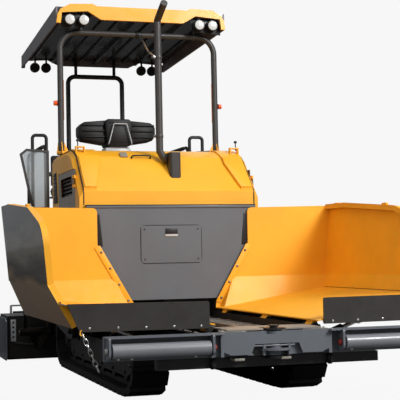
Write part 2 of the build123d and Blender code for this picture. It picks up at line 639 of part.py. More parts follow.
# Bulkhead behind the hopper, with a boxed foot each side of the conveyor tunnel
with BuildPart() as bulkhead:
    half_shape = [(0.0, BULKHEAD_BOTTOM), (SIDE_IN, BULKHEAD_BOTTOM), (SIDE_IN, SILL_TOP),
                  (SIDE_OUT + MOVE_GAP, SILL_TOP),
                  (SIDE_OUT + MOVE_GAP, SKIRT_BOTTOM), (BULKHEAD_HALF, SKIRT_BOTTOM), (BULKHEAD_HALF,
                                                                                       HOOD_BAND_BOTTOM)]
    shape = half_shape[1:] + [(-x, z) for x, z in half_shape[:0:-1]]
    extrude(outline(shape, across(BULKHEAD_Y)), amount=-BULKHEAD)
    top = (HOOD_BAND_BOTTOM - BULKHEAD, HOOD_BAND_BOTTOM)
    block((-BULKHEAD_HALF, BULKHEAD_HALF), (BULKHEAD_Y, HOOD_FRONT_Y), top)
write(bulkhead.part, "bulkhead")

# Hatch plate bolted on the bulkhead, with its small square window
with BuildPart() as hatch:
    left, right, bottom, top = HATCH
    corners = [(left, bottom), (right, bottom), (right, top), (left, top)]
    extrude(outline(corners, across(BULKHEAD_Y), rounds=((0, 30.0), (1, 30.0), (2, 30.0), (3, 30.0))),
            amount=HATCH_PLATE)
    half, height, low = HATCH_HOLE
    block((-half - 40.0, half), (BULKHEAD_Y - HATCH_PLATE - 1.0, BULKHEAD_Y + 1.0), (low, low + height),
          mode=Mode.SUBTRACT)
write(hatch.part, "hatch_cover")

# Hood: a shell with an upright band, a sloped face and a flat top, open to the side doors
shoulder_y = HOOD_FRONT_Y + HOOD_SHOULDER[0]
crown = [(HOOD_FRONT_Y + back, HOOD_SHOULDER[1] + (HOOD_TOP_Z - HOOD_SHOULDER[1]) * share)
         for back, share in HOOD_SHOULDER_STEPS]
hood_profile = [(HOOD_FRONT_Y, ENGINE_FLOOR), (HOOD_FRONT_Y, HOOD_BAND_TOP), (shoulder_y, HOOD_SHOULDER[1])]
hood_profile += crown + [(HOOD_REAR_Y, HOOD_TOP_Z), (HOOD_REAR_Y, ENGINE_FLOOR)]


def hood_form(inset):
    """The hood's outer form, or with an inset the space inside its wall."""
    with BuildPart() as form:
        with BuildSketch(along(inset - HOOD_HALF)):
            add(outline(hood_profile, Plane.XY))
            if inset:
                offset(amount=-inset, kind=Kind.INTERSECTION, mode=Mode.REPLACE)
        extrude(amount=2 * (HOOD_HALF - inset))
        top_edges = [edge for edge in form.edges().filter_by(Plane.YZ)
                     if edge.center().Z > HOOD_BAND_TOP and abs(edge.center().X) > HOOD_HALF - inset - 1.0
                     and edge.length < HOOD_REAR_Y - HOOD_FRONT_Y and edge.center().Y < HOOD_REAR_Y - inset - 1.0]
        chamfer(top_edges, HOOD_CORNER)
    return form.part


with BuildPart() as hood:
    add(hood_form(0.0))
    add(hood_form(HOOD_WALL), mode=Mode.SUBTRACT)
    inside = (HOOD_WALL - HOOD_HALF, HOOD_HALF - HOOD_WALL)
    block(inside, (HOOD_FRONT_Y + HOOD_WALL, HOOD_REAR_Y - HOOD_WALL),
          (ENGINE_FLOOR - 1.0, ENGINE_FLOOR + 2 * HOOD_WALL), mode=Mode.SUBTRACT)
    for side in (-1, 1):
        reach = sorted((side * (HOOD_HALF - 2 * HOOD_WALL), side * (HOOD_HALF + HOOD_WALL)))
        block(reach, (DOOR_FRONT_Y, DOOR_REAR_Y), (DOOR_BOTTOM, DOOR_TOP), mode=Mode.SUBTRACT)
        # Upright hinge pins of the doors, each in two collars on the skin ahead of the door
        for z in DOOR_HINGES:
            for edge in (-1, 1):
                near, far = z + edge * (DOOR_KNUCKLE / 2 + 1.0), z + edge * (DOOR_KNUCKLE + 1.0)
                bar((side * DOOR_PIN_X, DOOR_FRONT_Y, near), (side * DOOR_PIN_X, DOOR_FRONT_Y, far),
                    DOOR_KNUCKLE_R)
                reach = sorted((side * (HOOD_HALF - 1.0), side * DOOR_PIN_X))
                block(reach, (DOOR_FRONT_Y - 40.0, DOOR_FRONT_Y), (min(near, far), max(near, far)))
            bar((side * DOOR_PIN_X, DOOR_FRONT_Y, z - DOOR_KNUCKLE),
                (side * DOOR_PIN_X, DOOR_FRONT_Y, z + DOOR_KNUCKLE), DOOR_PIN_R)
write(hood.part, "hood")

# Raised cheeks along the hood's sides, wider towards the front, each side of the low centre panel
with BuildPart() as cheeks:
    outer = HOOD_HALF - HOOD_CORNER - 6.0
    inner_edge = [(x, HOOD_FRONT_Y + back) for x, back in CHEEK_INNER]
    plan = inner_edge + [(outer, inner_edge[-1][1]), (outer, inner_edge[0][1])]
    with BuildSketch(Plane.XY.offset(HOOD_BAND_TOP + 12.0)):
        add(outline(plan, Plane.XY))
    extrude(amount=HOOD_TOP_Z - HOOD_BAND_TOP)
    add(hood_form(-CHEEK_RAISE), mode=Mode.INTERSECT)
    add(hood_form(0.0), mode=Mode.SUBTRACT)
    mirror(about=Plane.YZ)
write(cheeks.part, "hood_cheeks")

# Side doors with rows of slanted vents; each hinges on an upright pin at its front edge
with BuildPart() as door:
    reach = (HOOD_HALF - HOOD_WALL, HOOD_HALF)
    low_y, high_y = DOOR_FRONT_Y + DOOR_GAP, DOOR_REAR_Y - DOOR_GAP
    block(reach, (low_y, high_y), (DOOR_BOTTOM + DOOR_GAP, DOOR_TOP - DOOR_GAP))
    for index in range(VENTS):
        pitch = (DOOR_TOP - DOOR_BOTTOM) / VENTS
        low_z = DOOR_BOTTOM + pitch * (index + 0.5) - VENT_HEIGHT / 2
        high_z = low_z + VENT_HEIGHT
        vent = [(low_y + 120.0, low_z), (high_y - 120.0 - VENT_SLANT, low_z), (high_y - 120.0, high_z),
                (low_y + 120.0 + VENT_SLANT, high_z)]
        rounds = [(corner, 20.0) for corner in range(4)]
        extrude(outline(vent, along(HOOD_HALF - 2 * HOOD_WALL), rounds), amount=3 * HOOD_WALL,
                mode=Mode.SUBTRACT)
    for z in DOOR_HINGES:
        knuckle = (z - DOOR_KNUCKLE / 2, z + DOOR_KNUCKLE / 2)
        bar((DOOR_PIN_X, DOOR_FRONT_Y, knuckle[0]), (DOOR_PIN_X, DOOR_FRONT_Y, knuckle[1]), DOOR_KNUCKLE_R)
        block((HOOD_HALF - 1.0, DOOR_PIN_X), (DOOR_FRONT_Y, DOOR_FRONT_Y + 40.0), knuckle)
        bar((DOOR_PIN_X, DOOR_FRONT_Y, knuckle[0] - 1.0), (DOOR_PIN_X, DOOR_FRONT_Y, knuckle[1] + 1.0),
            DOOR_PIN_R + BORE_PLAY,
            mode=Mode.SUBTRACT)
write_pair(door.part, "service_door")

# Engine and its cooler as one plain block under the hood
with BuildPart() as engine:
    block((-430.0, 430.0), (HOOD_FRONT_Y + 200.0, HOOD_FRONT_Y + 1150.0), (ENGINE_FLOOR, 1780.0))
write(engine.part, "engine_block")

# Operator's platform: rear body, deck with toe boards, brackets under the overhang, steps
with BuildPart() as platform:
    deck_y = (HOOD_REAR_Y, DECK_REAR_Y)
    block((-REAR_BODY_HALF, REAR_BODY_HALF), (HOOD_REAR_Y, CHASSIS_REAR_Y), (ENGINE_FLOOR, DECK_TOP - DECK))
    block((PLATE - REAR_BODY_HALF, REAR_BODY_HALF - PLATE), (HOOD_REAR_Y + PLATE, CHASSIS_REAR_Y - PLATE),
          (ENGINE_FLOOR + PLATE, DECK_TOP - DECK - PLATE), mode=Mode.SUBTRACT)
    block((-DECK_HALF, DECK_HALF), deck_y, (DECK_TOP - DECK, DECK_TOP))
    for side in (-1, 1):
        gusset = [(CHASSIS_REAR_Y, ENGINE_FLOOR + 60.0), (DECK_REAR_Y - 250.0, DECK_TOP - DECK),
                  (CHASSIS_REAR_Y, DECK_TOP - DECK)]
        extrude(outline(gusset, along(side * 560.0 - 8.0)), amount=16.0)
        edge = sorted((side * DECK_HALF, side * (DECK_HALF - 10.0)))
        block(edge, (HOOD_REAR_Y + 400.0, DECK_REAR_Y), (DECK_TOP - 1.0, DECK_TOP + 110.0))
        root = (side * (REAR_BODY_HALF - 1.0), LIFT_BASE[0], LIFT_BASE[1])
        bar(root, (side * (ARM_X - LIFT_TUBE_R - 8.0), LIFT_BASE[0], LIFT_BASE[1]), LIFT_TUBE_R)
        bar(root, (side * (ARM_X + LIFT_TUBE_R), LIFT_BASE[0], LIFT_BASE[1]), RAM_PIN_R)
    block((-HOOD_HALF, HOOD_HALF), (HOOD_REAR_Y, HOOD_REAR_Y + 60.0), (DECK_TOP - 1.0, HOOD_TOP_Z - 60.0))
write(platform.part, "platform")


def roof_under(y):
    """Height of the roof plate's underside at station y."""
    share = (y - CANOPY_FRONT_Y) / (CANOPY_REAR_Y - CANOPY_FRONT_Y)
    return ROOF_FRONT_Z - ROOF_PLATE - CANOPY_DROP * share


# Canopy's front frame: a hoop that stands on the hood, with two pegs up to the roof
with BuildPart() as hoop:
    foot_z = HOOD_TOP_Z + 4.0
    tube([(-POST_X, POST_Y, foot_z), (-POST_X, POST_Y, HOOP_Z), (POST_X, POST_Y, HOOP_Z),
          (POST_X, POST_Y, foot_z)], POST_R, HOOP_BEND)
    for side in (-1, 1):
        bar((side * POST_X, POST_Y, HOOD_TOP_Z), (side * POST_X, POST_Y, HOOD_TOP_Z + 8.0), PAD_R)
        bar((side * HOOP_PEG_X, POST_Y, HOOP_Z),
            (side * HOOP_PEG_X, POST_Y, roof_under(POST_Y + PEG_R) - PLAY), PEG_R)
write(hoop.part, "canopy_front_frame")

# Rear arch of the canopy: one bent tube on the deck, with two pegs up to the roof
with BuildPart() as arch:
    tube([(-ARCH_X, ARCH_Y, DECK_TOP), (-ARCH_X, ARCH_Y, ARCH_TOP), (ARCH_X, ARCH_Y, ARCH_TOP),
          (ARCH_X, ARCH_Y, DECK_TOP)], ARCH_R, 90.0)
    for side in (-1, 1):
        bar((side * PEG_X, ARCH_Y, ARCH_TOP), (side * PEG_X, ARCH_Y, roof_under(ARCH_Y + PEG_R) - PLAY),
            PEG_R)
write(arch.part, "canopy_rear_arch")

# Canopy roof: a sloped plate with ribs under it
with BuildPart() as roof:
    back = CANOPY_REAR_Y - FASCIA
    front = CANOPY_FRONT_Y + FASCIA
    plate = [(front, roof_under(front)), (back, roof_under(back)), (back, roof_under(back) + ROOF_PLATE),
             (front, roof_under(front) + ROOF_PLATE)]
    extrude(outline(plate, along(-CANOPY_HALF + 20.0)), amount=2 * CANOPY_HALF - 40.0)
    for x in ROOF_RIBS:
        rib = [(front, roof_under(front) + 1.0), (front, roof_under(front) - RIB_DEPTH),
               (back, roof_under(back) - RIB_DEPTH), (back, roof_under(back) + 1.0)]
        extrude(outline(rib, along(x - 15.0)), amount=30.0)
write(roof.part, "canopy_roof")

# Front fascia: raised humps over the lamps, deep middle, and a tip down each corner
FASCIA_IN = (-438.0, -393.0, -148.0, -43.0,
             -12.0)                       # X of its upper corners, from the side
FASCIA_UP = (15.0, 38.0, 28.0, -30.0,
             -85.0)                             # and their height over the roof's front edge
LAMP_NOTCH = ((-60.0, -65.0), (-338.0, -43.0), (-483.0, -128.0))
HALF_FASCIA = [(0.0, ROOF_FRONT_Z + FASCIA_UP[0])]
HALF_FASCIA += [(CANOPY_HALF + x, ROOF_FRONT_Z + z) for x, z in zip(FASCIA_IN, FASCIA_UP)]
HALF_FASCIA += [(CANOPY_HALF, CANOPY_TIP_Z), (CANOPY_HALF - 46.0, CANOPY_TIP_Z)]
HALF_FASCIA += [(CANOPY_HALF + x, ROOF_FRONT_Z + z) for x, z in LAMP_NOTCH]
HALF_FASCIA += [(0.0, ROOF_FRONT_Z + LAMP_NOTCH[-1][1])]
with BuildPart() as fascia:
    extrude(outline(HALF_FASCIA, across(CANOPY_FRONT_Y)), amount=-FASCIA)
    mirror(about=Plane.YZ)
write(fascia.part, "canopy_front_fascia")

# Rear fascia: the same outline, lower by the roof's drop
rear_scale = (ROOF_FRONT_Z - CANOPY_DROP - CANOPY_REAR_TIP_Z) / (ROOF_FRONT_Z - CANOPY_TIP_Z)
with BuildPart() as rear_fascia:
    rear_outline = [(x, CANOPY_REAR_TIP_Z + (z - CANOPY_TIP_Z) * rear_scale) for x, z in HALF_FASCIA]
    extrude(outline(rear_outline, across(CANOPY_REAR_Y)), amount=FASCIA)
    mirror(about=Plane.YZ)
write(rear_fascia.part, "canopy_rear_fascia")

# Side fascias between the corners
with BuildPart() as sides:
    side = [(CANOPY_FRONT_Y + FASCIA, CANOPY_TIP_Z), (CANOPY_REAR_Y - FASCIA, CANOPY_REAR_TIP_Z),
            (CANOPY_REAR_Y - FASCIA, ROOF_FRONT_Z - CANOPY_DROP), (CANOPY_FRONT_Y + FASCIA, ROOF_FRONT_Z)]
    extrude(outline(side, along(CANOPY_HALF - 20.0)), amount=20.0)
    mirror(about=Plane.YZ)
write(sides.part, "canopy_side_fascias")

# Work lamps: two in each corner of the canopy, front and rear
with BuildPart() as lamps:
    for x in FRONT_LAMPS:
        bar((x, CANOPY_FRONT_Y + 4.0, FRONT_LAMP_Z), (x, CANOPY_FRONT_Y + 4.0 + LAMP_DEPTH, FRONT_LAMP_Z),
            LAMP_R)
        stem_y = CANOPY_FRONT_Y + 45.0
        bar((x, stem_y, FRONT_LAMP_Z), (x, stem_y, roof_under(stem_y + STEM_R) - PLAY), STEM_R)
    for x in REAR_LAMPS:
        bar((x, CANOPY_REAR_Y - 4.0 - LAMP_DEPTH, REAR_LAMP_Z), (x, CANOPY_REAR_Y - 4.0, REAR_LAMP_Z), LAMP_R)
        stem_y = CANOPY_REAR_Y - 48.0
        bar((x, stem_y, REAR_LAMP_Z), (x, stem_y, roof_under(stem_y + STEM_R) - PLAY), STEM_R)
    mirror(about=Plane.YZ)
write(lamps.part, "work_lamps")

# Marker lamps on the front posts
with BuildPart() as markers:
    for side in (-1, 1):
        edge = side * (POST_X + POST_R)
        bar((edge + side * PLAY, POST_Y, MARKER_Z), (edge + side * 42.0, POST_Y, MARKER_Z), 26.0)
write(markers.part, "marker_lamps")

# Exhaust: a stack on the hood's slope, an elbow out of its side and a tall pipe with a bent tip
with BuildPart() as stack:
    with BuildSketch(Plane.XY.offset(STACK_TOP)):
        with Locations((STACK_X, STACK_Y + STACK_DEPTH / 2)):
            RectangleRounded(STACK_WIDTH, STACK_DEPTH, STACK_ROUND)
    extrude(amount=HOOD_BAND_TOP - STACK_TOP)
    add(hood_form(0.0), mode=Mode.SUBTRACT)
write(stack.part, "exhaust_stack")

with BuildPart() as pipe:
    lean, tip_z = PIPE_TIP
    tube([(STACK_X - STACK_WIDTH / 2 - PLAY, PIPE_Y, ELBOW_Z), (PIPE_X + ELBOW_RUN, PIPE_Y, ELBOW_Z),
          (PIPE_X, PIPE_Y, ELBOW_Z + ELBOW_RISE),
          (PIPE_X, PIPE_Y, PIPE_BEND_Z), (PIPE_X, PIPE_Y - lean, tip_z)], PIPE_R, ELBOW_BEND)
write(pipe.part, "exhaust_pipe")

# Console: pedestal, moulded middle and two wings
with BuildPart() as console:
    block((CONSOLE_X - 110.0, CONSOLE_X + 110.0), (CONSOLE_Y - 90.0, CONSOLE_Y + 90.0),
          (DECK_TOP, CONSOLE_BOTTOM + 40.0))
    wing_shape = [(0.0, CONSOLE_BOTTOM), (300.0, CONSOLE_BOTTOM + 25.0), (400.0, CONSOLE_BOTTOM + 70.0),
                  (CONSOLE_HALF - 20.0, CONSOLE_BOTTOM + 110.0),
                  (CONSOLE_HALF, CONSOLE_TOP - 45.0), (160.0, CONSOLE_TOP - 18.0), (0.0, CONSOLE_TOP - 18.0)]
    for side in (-1, 1):
        shape = [(CONSOLE_X + side * x, z) for x, z in wing_shape]
        extrude(outline(shape, across(CONSOLE_Y - 130.0)), amount=-260.0)
    block((CONSOLE_X - 160.0, CONSOLE_X + 160.0), (CONSOLE_Y - 160.0, CONSOLE_Y + 150.0),
          (CONSOLE_BOTTOM, CONSOLE_TOP))
write(console.part, "console")

with BuildPart() as guard:
    face_y = CONSOLE_Y - 160.0 - PLAY
    y = face_y - 30.0
    foot_z, top_z = CONSOLE_BOTTOM + 20.0, CONSOLE_TOP - 60.0
    left, right = CONSOLE_X - 130.0, CONSOLE_X + 145.0
    tube([(left, face_y, foot_z), (left, y, foot_z), (left + 65.0, y, top_z), (right - 60.0, y, top_z),
          (right, y, foot_z), (right, face_y, foot_z)], GUARD_R, 14.0)
write(guard.part, "console_guard")

# Two seats on pedestals
with BuildPart() as seats:
    cushion = DECK_TOP + SEAT_HEIGHT
    block((SEAT_X - 120.0, SEAT_X + 120.0), (SEAT_Y - 120.0, SEAT_Y + 120.0), (DECK_TOP, cushion - 90.0))
    block((SEAT_X - 225.0, SEAT_X + 225.0), (SEAT_Y - 240.0, SEAT_Y + 220.0), (cushion - 90.0, cushion))
    block((SEAT_X - 215.0, SEAT_X + 215.0), (SEAT_Y + 150.0, SEAT_Y + 240.0),
          (cushion - 20.0, cushion + 430.0))
    mirror(about=Plane.YZ)
write(seats.part, "seats")

# Handrails at the sides of the deck
with BuildPart() as handrails:
    for side in (-1, 1):
        low, high = side * (DECK_HALF + RAIL_INNER), side * (DECK_HALF + RAIL_OUTER)
        foot_z = DECK_TOP - 20.0
        tube([(low, CONSOLE_Y, DECK_TOP), (low, CONSOLE_Y, 2560.0), (high, CONSOLE_Y, 2560.0),
              (high, CONSOLE_Y, foot_z)], RAIL_R, 40.0)
        tube([(low, CONSOLE_Y + 60.0, DECK_TOP), (low, CONSOLE_Y + 60.0, 2450.0),
              (low, DECK_REAR_Y - 60.0, 2450.0),
              (low, DECK_REAR_Y - 60.0, DECK_TOP)], RAIL_R, 90.0)
        bar((side * DECK_HALF, CONSOLE_Y, foot_z), (high, CONSOLE_Y, foot_z), RAIL_R)
write(handrails.part, "handrails")

# Side screens beside the deck: a framed pane that leans outwards
screen = [(DECK_HALF - 110.0, DECK_TOP + 160.0), (DECK_HALF + 90.0, DECK_TOP + 160.0),
          (DECK_HALF + 225.0, DECK_TOP + 790.0),
          (DECK_HALF + 150.0, DECK_TOP + 850.0), (DECK_HALF - 110.0, DECK_TOP + 830.0)]
with BuildPart() as screen_frames:
    with BuildSketch(across(SCREEN_Y)) as border:
        add(outline(screen, Plane.XY))
        offset(amount=-26.0, mode=Mode.SUBTRACT)
    extrude(amount=-22.0)
    block((DECK_HALF - 110.0, DECK_HALF - 84.0), (SCREEN_Y, SCREEN_Y + 22.0), (DECK_TOP, DECK_TOP + 170.0))
    mirror(about=Plane.YZ)
write(screen_frames.part, "screen_frames")

with BuildPart() as panes:
    with BuildSketch(across(SCREEN_Y + 8.0)) as pane:
        add(outline(screen, Plane.XY))
        offset(amount=-26.0, mode=Mode.REPLACE)
    extrude(amount=-6.0)
    mirror(about=Plane.YZ)
write(panes.part, "screen_panes")

# Auger frame: a beam behind the chassis, the gear case between the augers and a hanger a side
with BuildPart() as auger_frame:
    block((-BODY_HALF, BODY_HALF), (CHASSIS_REAR_Y, CHASSIS_REAR_Y + 70.0), AUGER_BEAM)
    case = [(CHASSIS_REAR_Y + 66.0, AUGER_BEAM[0] + 10.0), (AUGER_Y - 40.0, AUGER_Z + 90.0),
            (AUGER_Y + 70.0, AUGER_Z + 90.0),
            (AUGER_Y + 70.0, AUGER_Z - 80.0), (AUGER_Y - 70.0, AUGER_Z - 80.0), (AUGER_Y - 90.0,
                                                                                 AUGER_Z + 60.0),
            (CHASSIS_REAR_Y + 6.0, AUGER_BEAM[0] + 10.0)]
    extrude(outline(case, along(PLAY - AUGER_INNER_X)), amount=2 * (AUGER_INNER_X - PLAY))
    hanger = [(CHASSIS_REAR_Y + 66.0, AUGER_BEAM[0] + 10.0), (AUGER_Y + 60.0, AUGER_Z + 20.0),
              (AUGER_Y + 60.0, AUGER_Z - 60.0),
              (AUGER_Y - 60.0, AUGER_Z - 60.0), (AUGER_Y - 60.0, AUGER_Z + 30.0), (CHASSIS_REAR_Y + 6.0,
                                                                                   AUGER_BEAM[0] + 10.0)]
    for side in (-1, 1):
        near, far = sorted(side * x for x in AUGER_HANGER)
        extrude(outline(hanger, along(near), rounds=((2, 40.0), (3, 40.0))), amount=far - near)
        bar((near - 1.0, AUGER_Y, AUGER_Z), (far + 1.0, AUGER_Y, AUGER_Z), AUGER_SHAFT_R + BORE_PLAY,
            mode=Mode.SUBTRACT)
write(auger_frame.part, "auger_frame")

# Augers: a screw each side that carries the mix outwards; its outer end takes bolt-on extensions
with BuildPart() as auger:
    bar((AUGER_INNER_X, AUGER_Y, AUGER_Z), (AUGER_OUTER_X, AUGER_Y, AUGER_Z), AUGER_SHAFT_R)
    step_length = AUGER_PITCH / AUGER_STEPS
    wedge = radians(360.0 / AUGER_STEPS)
    root = AUGER_SHAFT_R - 5.0
    for step in range(int((AUGER_OUTER_X - AUGER_INNER_X - 60.0) / step_length)):
        x = AUGER_INNER_X + 20.0 + step_length * step
        if AUGER_HANGER[0] - FLIGHT - 8.0 < x < AUGER_HANGER[1] + 8.0:
            continue
        face = Plane(origin=(x, AUGER_Y, AUGER_Z), x_dir=(0, cos(wedge * step), sin(wedge * step)),
                     z_dir=(1, 0, 0))
        overlap = wedge * 1.04
        points = [(root, 0.0), (AUGER_R, 0.0), (AUGER_R * cos(overlap), AUGER_R * sin(overlap)),
                  (root * cos(overlap), root * sin(overlap))]
        extrude(outline(points, face), amount=step_length + 2.0)
    count, circle, hole_r, depth = AUGER_HOLES
    for index in range(count):
        angle = 2 * pi * (index + 0.5) / count
        hole = (AUGER_Y + circle / 2 * cos(angle), AUGER_Z + circle / 2 * sin(angle))
        bar((AUGER_OUTER_X - depth, *hole), (AUGER_OUTER_X + 1.0, *hole), hole_r, mode=Mode.SUBTRACT)
write_pair(auger.part, "auger")

# Wing: sloped floor, slanted side plate, leaning wall with a rolled rim, rear plate with its ramp, hinge knuckles


def leaning_plane(low, high):
    """Plane of a plate along the machine between two (x, z) points: local x is Y, local y is up the plate."""
    run = hypot(high[0] - low[0], high[1] - low[1])
    lean_x, lean_z = (high[0] - low[0]) / run, (high[1] - low[1]) / run
    return Plane(origin=(low[0], 0.0, low[1]), x_dir=(0, 1, 0), z_dir=(lean_z, 0, -lean_x)), run


wall_plane, wall_run = leaning_plane(CREASE, WALL_TOP)
side_plane, side_run = leaning_plane(SIDE_FOOT, CREASE)
side_slope = (CREASE[0] - SIDE_FOOT[0]) / (CREASE[1] - SIDE_FOOT[1])
FLOOR_OUTER = (SIDE_FOOT[0] + (FLOOR_OUTER_Z - SIDE_FOOT[1]) * side_slope, FLOOR_OUTER_Z)
FLOOR_FRONT_Y = HOPPER_FRONT_Y + APRON_PLATE
floor_slope = (FLOOR_OUTER[1] - FLOOR_INNER[1]) / (FLOOR_OUTER[0] - FLOOR_INNER[0])


def floor_z(x):
    """Height of the wing floor's upper face at x."""
    return FLOOR_INNER[1] + (x - FLOOR_INNER[0]) * floor_slope


SIDE_TOP_Y = WING_REAR_Y - SIDE_FRONT[0]
SIDE_FOOT_Y = WING_REAR_Y - SIDE_FRONT[1]
# Side wall outline: distance ahead of the rear plate's face, depth below the wall's top, corner radius
WALL_UPPER = ((-WALL_REAR, 2.0, 20.0), (400.0, 5.0, 0.0), (1400.0, 81.0, 400.0),
              (SIDE_FRONT[0] + 13.0, 253.0, 190.0))
wall_points = [(WING_REAR_Y + WALL_REAR, 0.0)] + [(WING_REAR_Y - ahead, wall_run - depth) for ahead, depth,
                                                  _ in WALL_UPPER]
wall_points += [(SIDE_TOP_Y, 0.0)]
wall_rounds = [(index, radius) for index, (_, _, radius) in enumerate(WALL_UPPER, start=1) if radius]
with BuildPart() as wing:
    overlap = 40.0                # the slanted plate's fold runs this far up the wall
    wall_lean = (WALL_TOP[0] - CREASE[0]) / (WALL_TOP[1] - CREASE[1])
    side = folded([SIDE_FOOT, CREASE, (CREASE[0] + overlap * wall_lean, CREASE[1] + overlap)], WING_WALL)
    extrude(outline(side, across(FLOOR_FRONT_Y)), amount=-(WING_REAR_Y + REAR_PLATE - FLOOR_FRONT_Y))
    # The slanted plate's front edge runs forward from the wall down to its foot
    low_z = SIDE_FOOT[1] - 20.0
    low_y = SIDE_FOOT_Y + (low_z - SIDE_FOOT[1]) * (SIDE_TOP_Y - SIDE_FOOT_Y) / (CREASE[1] - SIDE_FOOT[1])
    away = [(FLOOR_FRONT_Y - 5.0, low_z), (low_y, low_z), (SIDE_TOP_Y, CREASE[1]),
            (SIDE_TOP_Y, CREASE[1] + 2 * overlap),
            (FLOOR_FRONT_Y - 5.0, CREASE[1] + 2 * overlap)]
    extrude(outline(away, along(SIDE_FOOT[0] - 20.0)), amount=400.0, mode=Mode.SUBTRACT)
    sheet = folded([FLOOR_INNER, (FLOOR_OUTER[0] + 4.0, floor_z(FLOOR_OUTER[0] + 4.0))], WING_WALL)
    extrude(outline(sheet, across(FLOOR_FRONT_Y)), amount=-(WING_REAR_Y + REAR_PLATE - FLOOR_FRONT_Y))
    extrude(outline(wall_points, wall_plane, rounds=wall_rounds), amount=WING_WALL)
    # Rim folded inwards along the wall's top and front edges, and the hem that hangs from it
    for plane, depth, amount in ((wall_plane, WING_WALL, -RIM_WIDTH),
                                 (wall_plane.offset(-RIM_WIDTH), HEM, HEM_WALL)):
        with BuildSketch(plane):
            add(outline(wall_points, Plane.XY, rounds=wall_rounds))
            offset(amount=-depth, mode=Mode.SUBTRACT)
            with Locations((WING_REAR_Y + WALL_REAR + 100.0 - SIDE_FRONT[0] / 2, 0.0)):
                Rectangle(SIDE_FRONT[0] + 80.0, 3 * depth, mode=Mode.SUBTRACT)
            with Locations((WING_REAR_Y + WALL_REAR, wall_run / 2)):
                Rectangle(90.0, wall_run * 1.5, mode=Mode.SUBTRACT)
        extrude(amount=amount)
    edge = [(SIDE_TOP_Y, side_run), (SIDE_FOOT_Y, 0.0), (SIDE_FOOT_Y + WING_WALL, 0.0),
            (SIDE_TOP_Y + WING_WALL, side_run)]
    extrude(outline(edge, side_plane), amount=-RIM_WIDTH)
    rear = [FLOOR_INNER, (421.0, 705.0), (REAR_INNER_X, KNEE_Z), (REAR_INNER_X, REAR_TOP_Z),
            (WALL_TOP[0] - 1.0, WALL_TOP[1] - 12.0), CREASE,
            SIDE_FOOT, (SIDE_FOOT[0] - 110.0, SIDE_FOOT[1] + 20.0)]
    extrude(outline(rear, across(WING_REAR_Y), rounds=((3, 45.0),)), amount=-REAR_PLATE)
    # Ramp in front of the rear plate's foot: a wedge, trimmed to the floor, the side plate and its slanted inner end
    with BuildPart(mode=Mode.PRIVATE) as ramp:
        section = [(WING_REAR_Y + 1.0, RAMP_TOP), (WING_REAR_Y - RAMP_RUN, RAMP_FOOT),
                   (WING_REAR_Y + 1.0, RAMP_FOOT)]
        extrude(outline(section, along(RAMP_INNER[1] - 20.0)), amount=CREASE[0] - RAMP_INNER[1] + 40.0)
        side_x = SIDE_FOOT[0] + (RAMP_TOP - SIDE_FOOT[1]) * side_slope + 3.0
        front = [(RAMP_INNER[0], RAMP_TOP), (RAMP_INNER[1], floor_z(RAMP_INNER[1]) - 4.0),
                 (FLOOR_OUTER[0] + 3.0, floor_z(FLOOR_OUTER[0]) - 4.0),
                 (side_x, RAMP_TOP)]
        extrude(outline(front, across(WING_REAR_Y - 2 * RAMP_RUN)), amount=-3 * RAMP_RUN, mode=Mode.INTERSECT)
    add(ramp.part)
    # Lip behind the apron, knuckles on the hinge pins, and the cylinder's bracket
    lip = [(APRON_INNER_X, LIP_BOTTOM), (APRON_FOOT_X - 15.0, LIP_BOTTOM + 4.0),
           (FLOOR_OUTER[0] - 12.0, floor_z(FLOOR_OUTER[0] - 12.0) - 4.0),
           (APRON_INNER_X, floor_z(APRON_INNER_X) - 4.0)]
    extrude(outline(lip, across(FLOOR_FRONT_Y)), amount=-PLATE)
    for station in HINGE_STATIONS:
        y = WING_REAR_Y + station
        bar((HINGE_X, y - KNUCKLE_LENGTH / 2, HINGE_Z), (HINGE_X, y + KNUCKLE_LENGTH / 2, HINGE_Z), KNUCKLE_R)
        block((HINGE_X - 10.0, HINGE_X + KNUCKLE_R), (y - KNUCKLE_LENGTH / 2, y + KNUCKLE_LENGTH / 2),
              (HINGE_Z, FLOOR_INNER[1] - 4.0))
        bar((HINGE_X, y - KNUCKLE_LENGTH, HINGE_Z), (HINGE_X, y + KNUCKLE_LENGTH, HINGE_Z),
            HINGE_PIN_R + BORE_PLAY, mode=Mode.SUBTRACT)
    for edge in (-1, 1):
        y = WING_RAM_Y + edge * 27.0
        ear_top = floor_z(RAM_EYE[0]) - WING_WALL / 2
        ear = [(RAM_EYE[0] - 35.0, RAM_EYE[1] - 20.0), (RAM_EYE[0] + 35.0, RAM_EYE[1] - 20.0),
               (RAM_EYE[0] + 60.0, ear_top + floor_slope * 60.0), (RAM_EYE[0] - 60.0,
                                                                   ear_top - floor_slope * 60.0)]
        extrude(outline(ear, across(y - 6.0), rounds=((0, 18.0), (1, 18.0))), amount=-12.0)
    bar((RAM_EYE[0], WING_RAM_Y - 33.0, RAM_EYE[1]), (RAM_EYE[0], WING_RAM_Y + 33.0, RAM_EYE[1]), 12.0)
write_pair(wing.part, "hopper_wing")

# Apron: the steel strip across the front of each wing
with BuildPart() as apron:
    shape = [(APRON_INNER_X, APRON_BOTTOM), (APRON_FOOT_X, APRON_BOTTOM + 6.0),
             (APRON_TIP_X, APRON_TOP + 8.0), (APRON_INNER_X, APRON_TOP)]
    extrude(outline(shape, across(HOPPER_FRONT_Y), rounds=((3, 14.0),)), amount=-APRON_PLATE)
    strip = [(APRON_INNER_X, APRON_BOTTOM), (APRON_FOOT_X, APRON_BOTTOM + 6.0),
             (APRON_FOOT_X + 20.0, APRON_BOTTOM + APRON_STRIP + 6.0),
             (APRON_INNER_X, APRON_BOTTOM + APRON_STRIP)]
    extrude(outline(strip, across(HOPPER_FRONT_Y)), amount=8.0)
write_pair(apron.part, "apron")

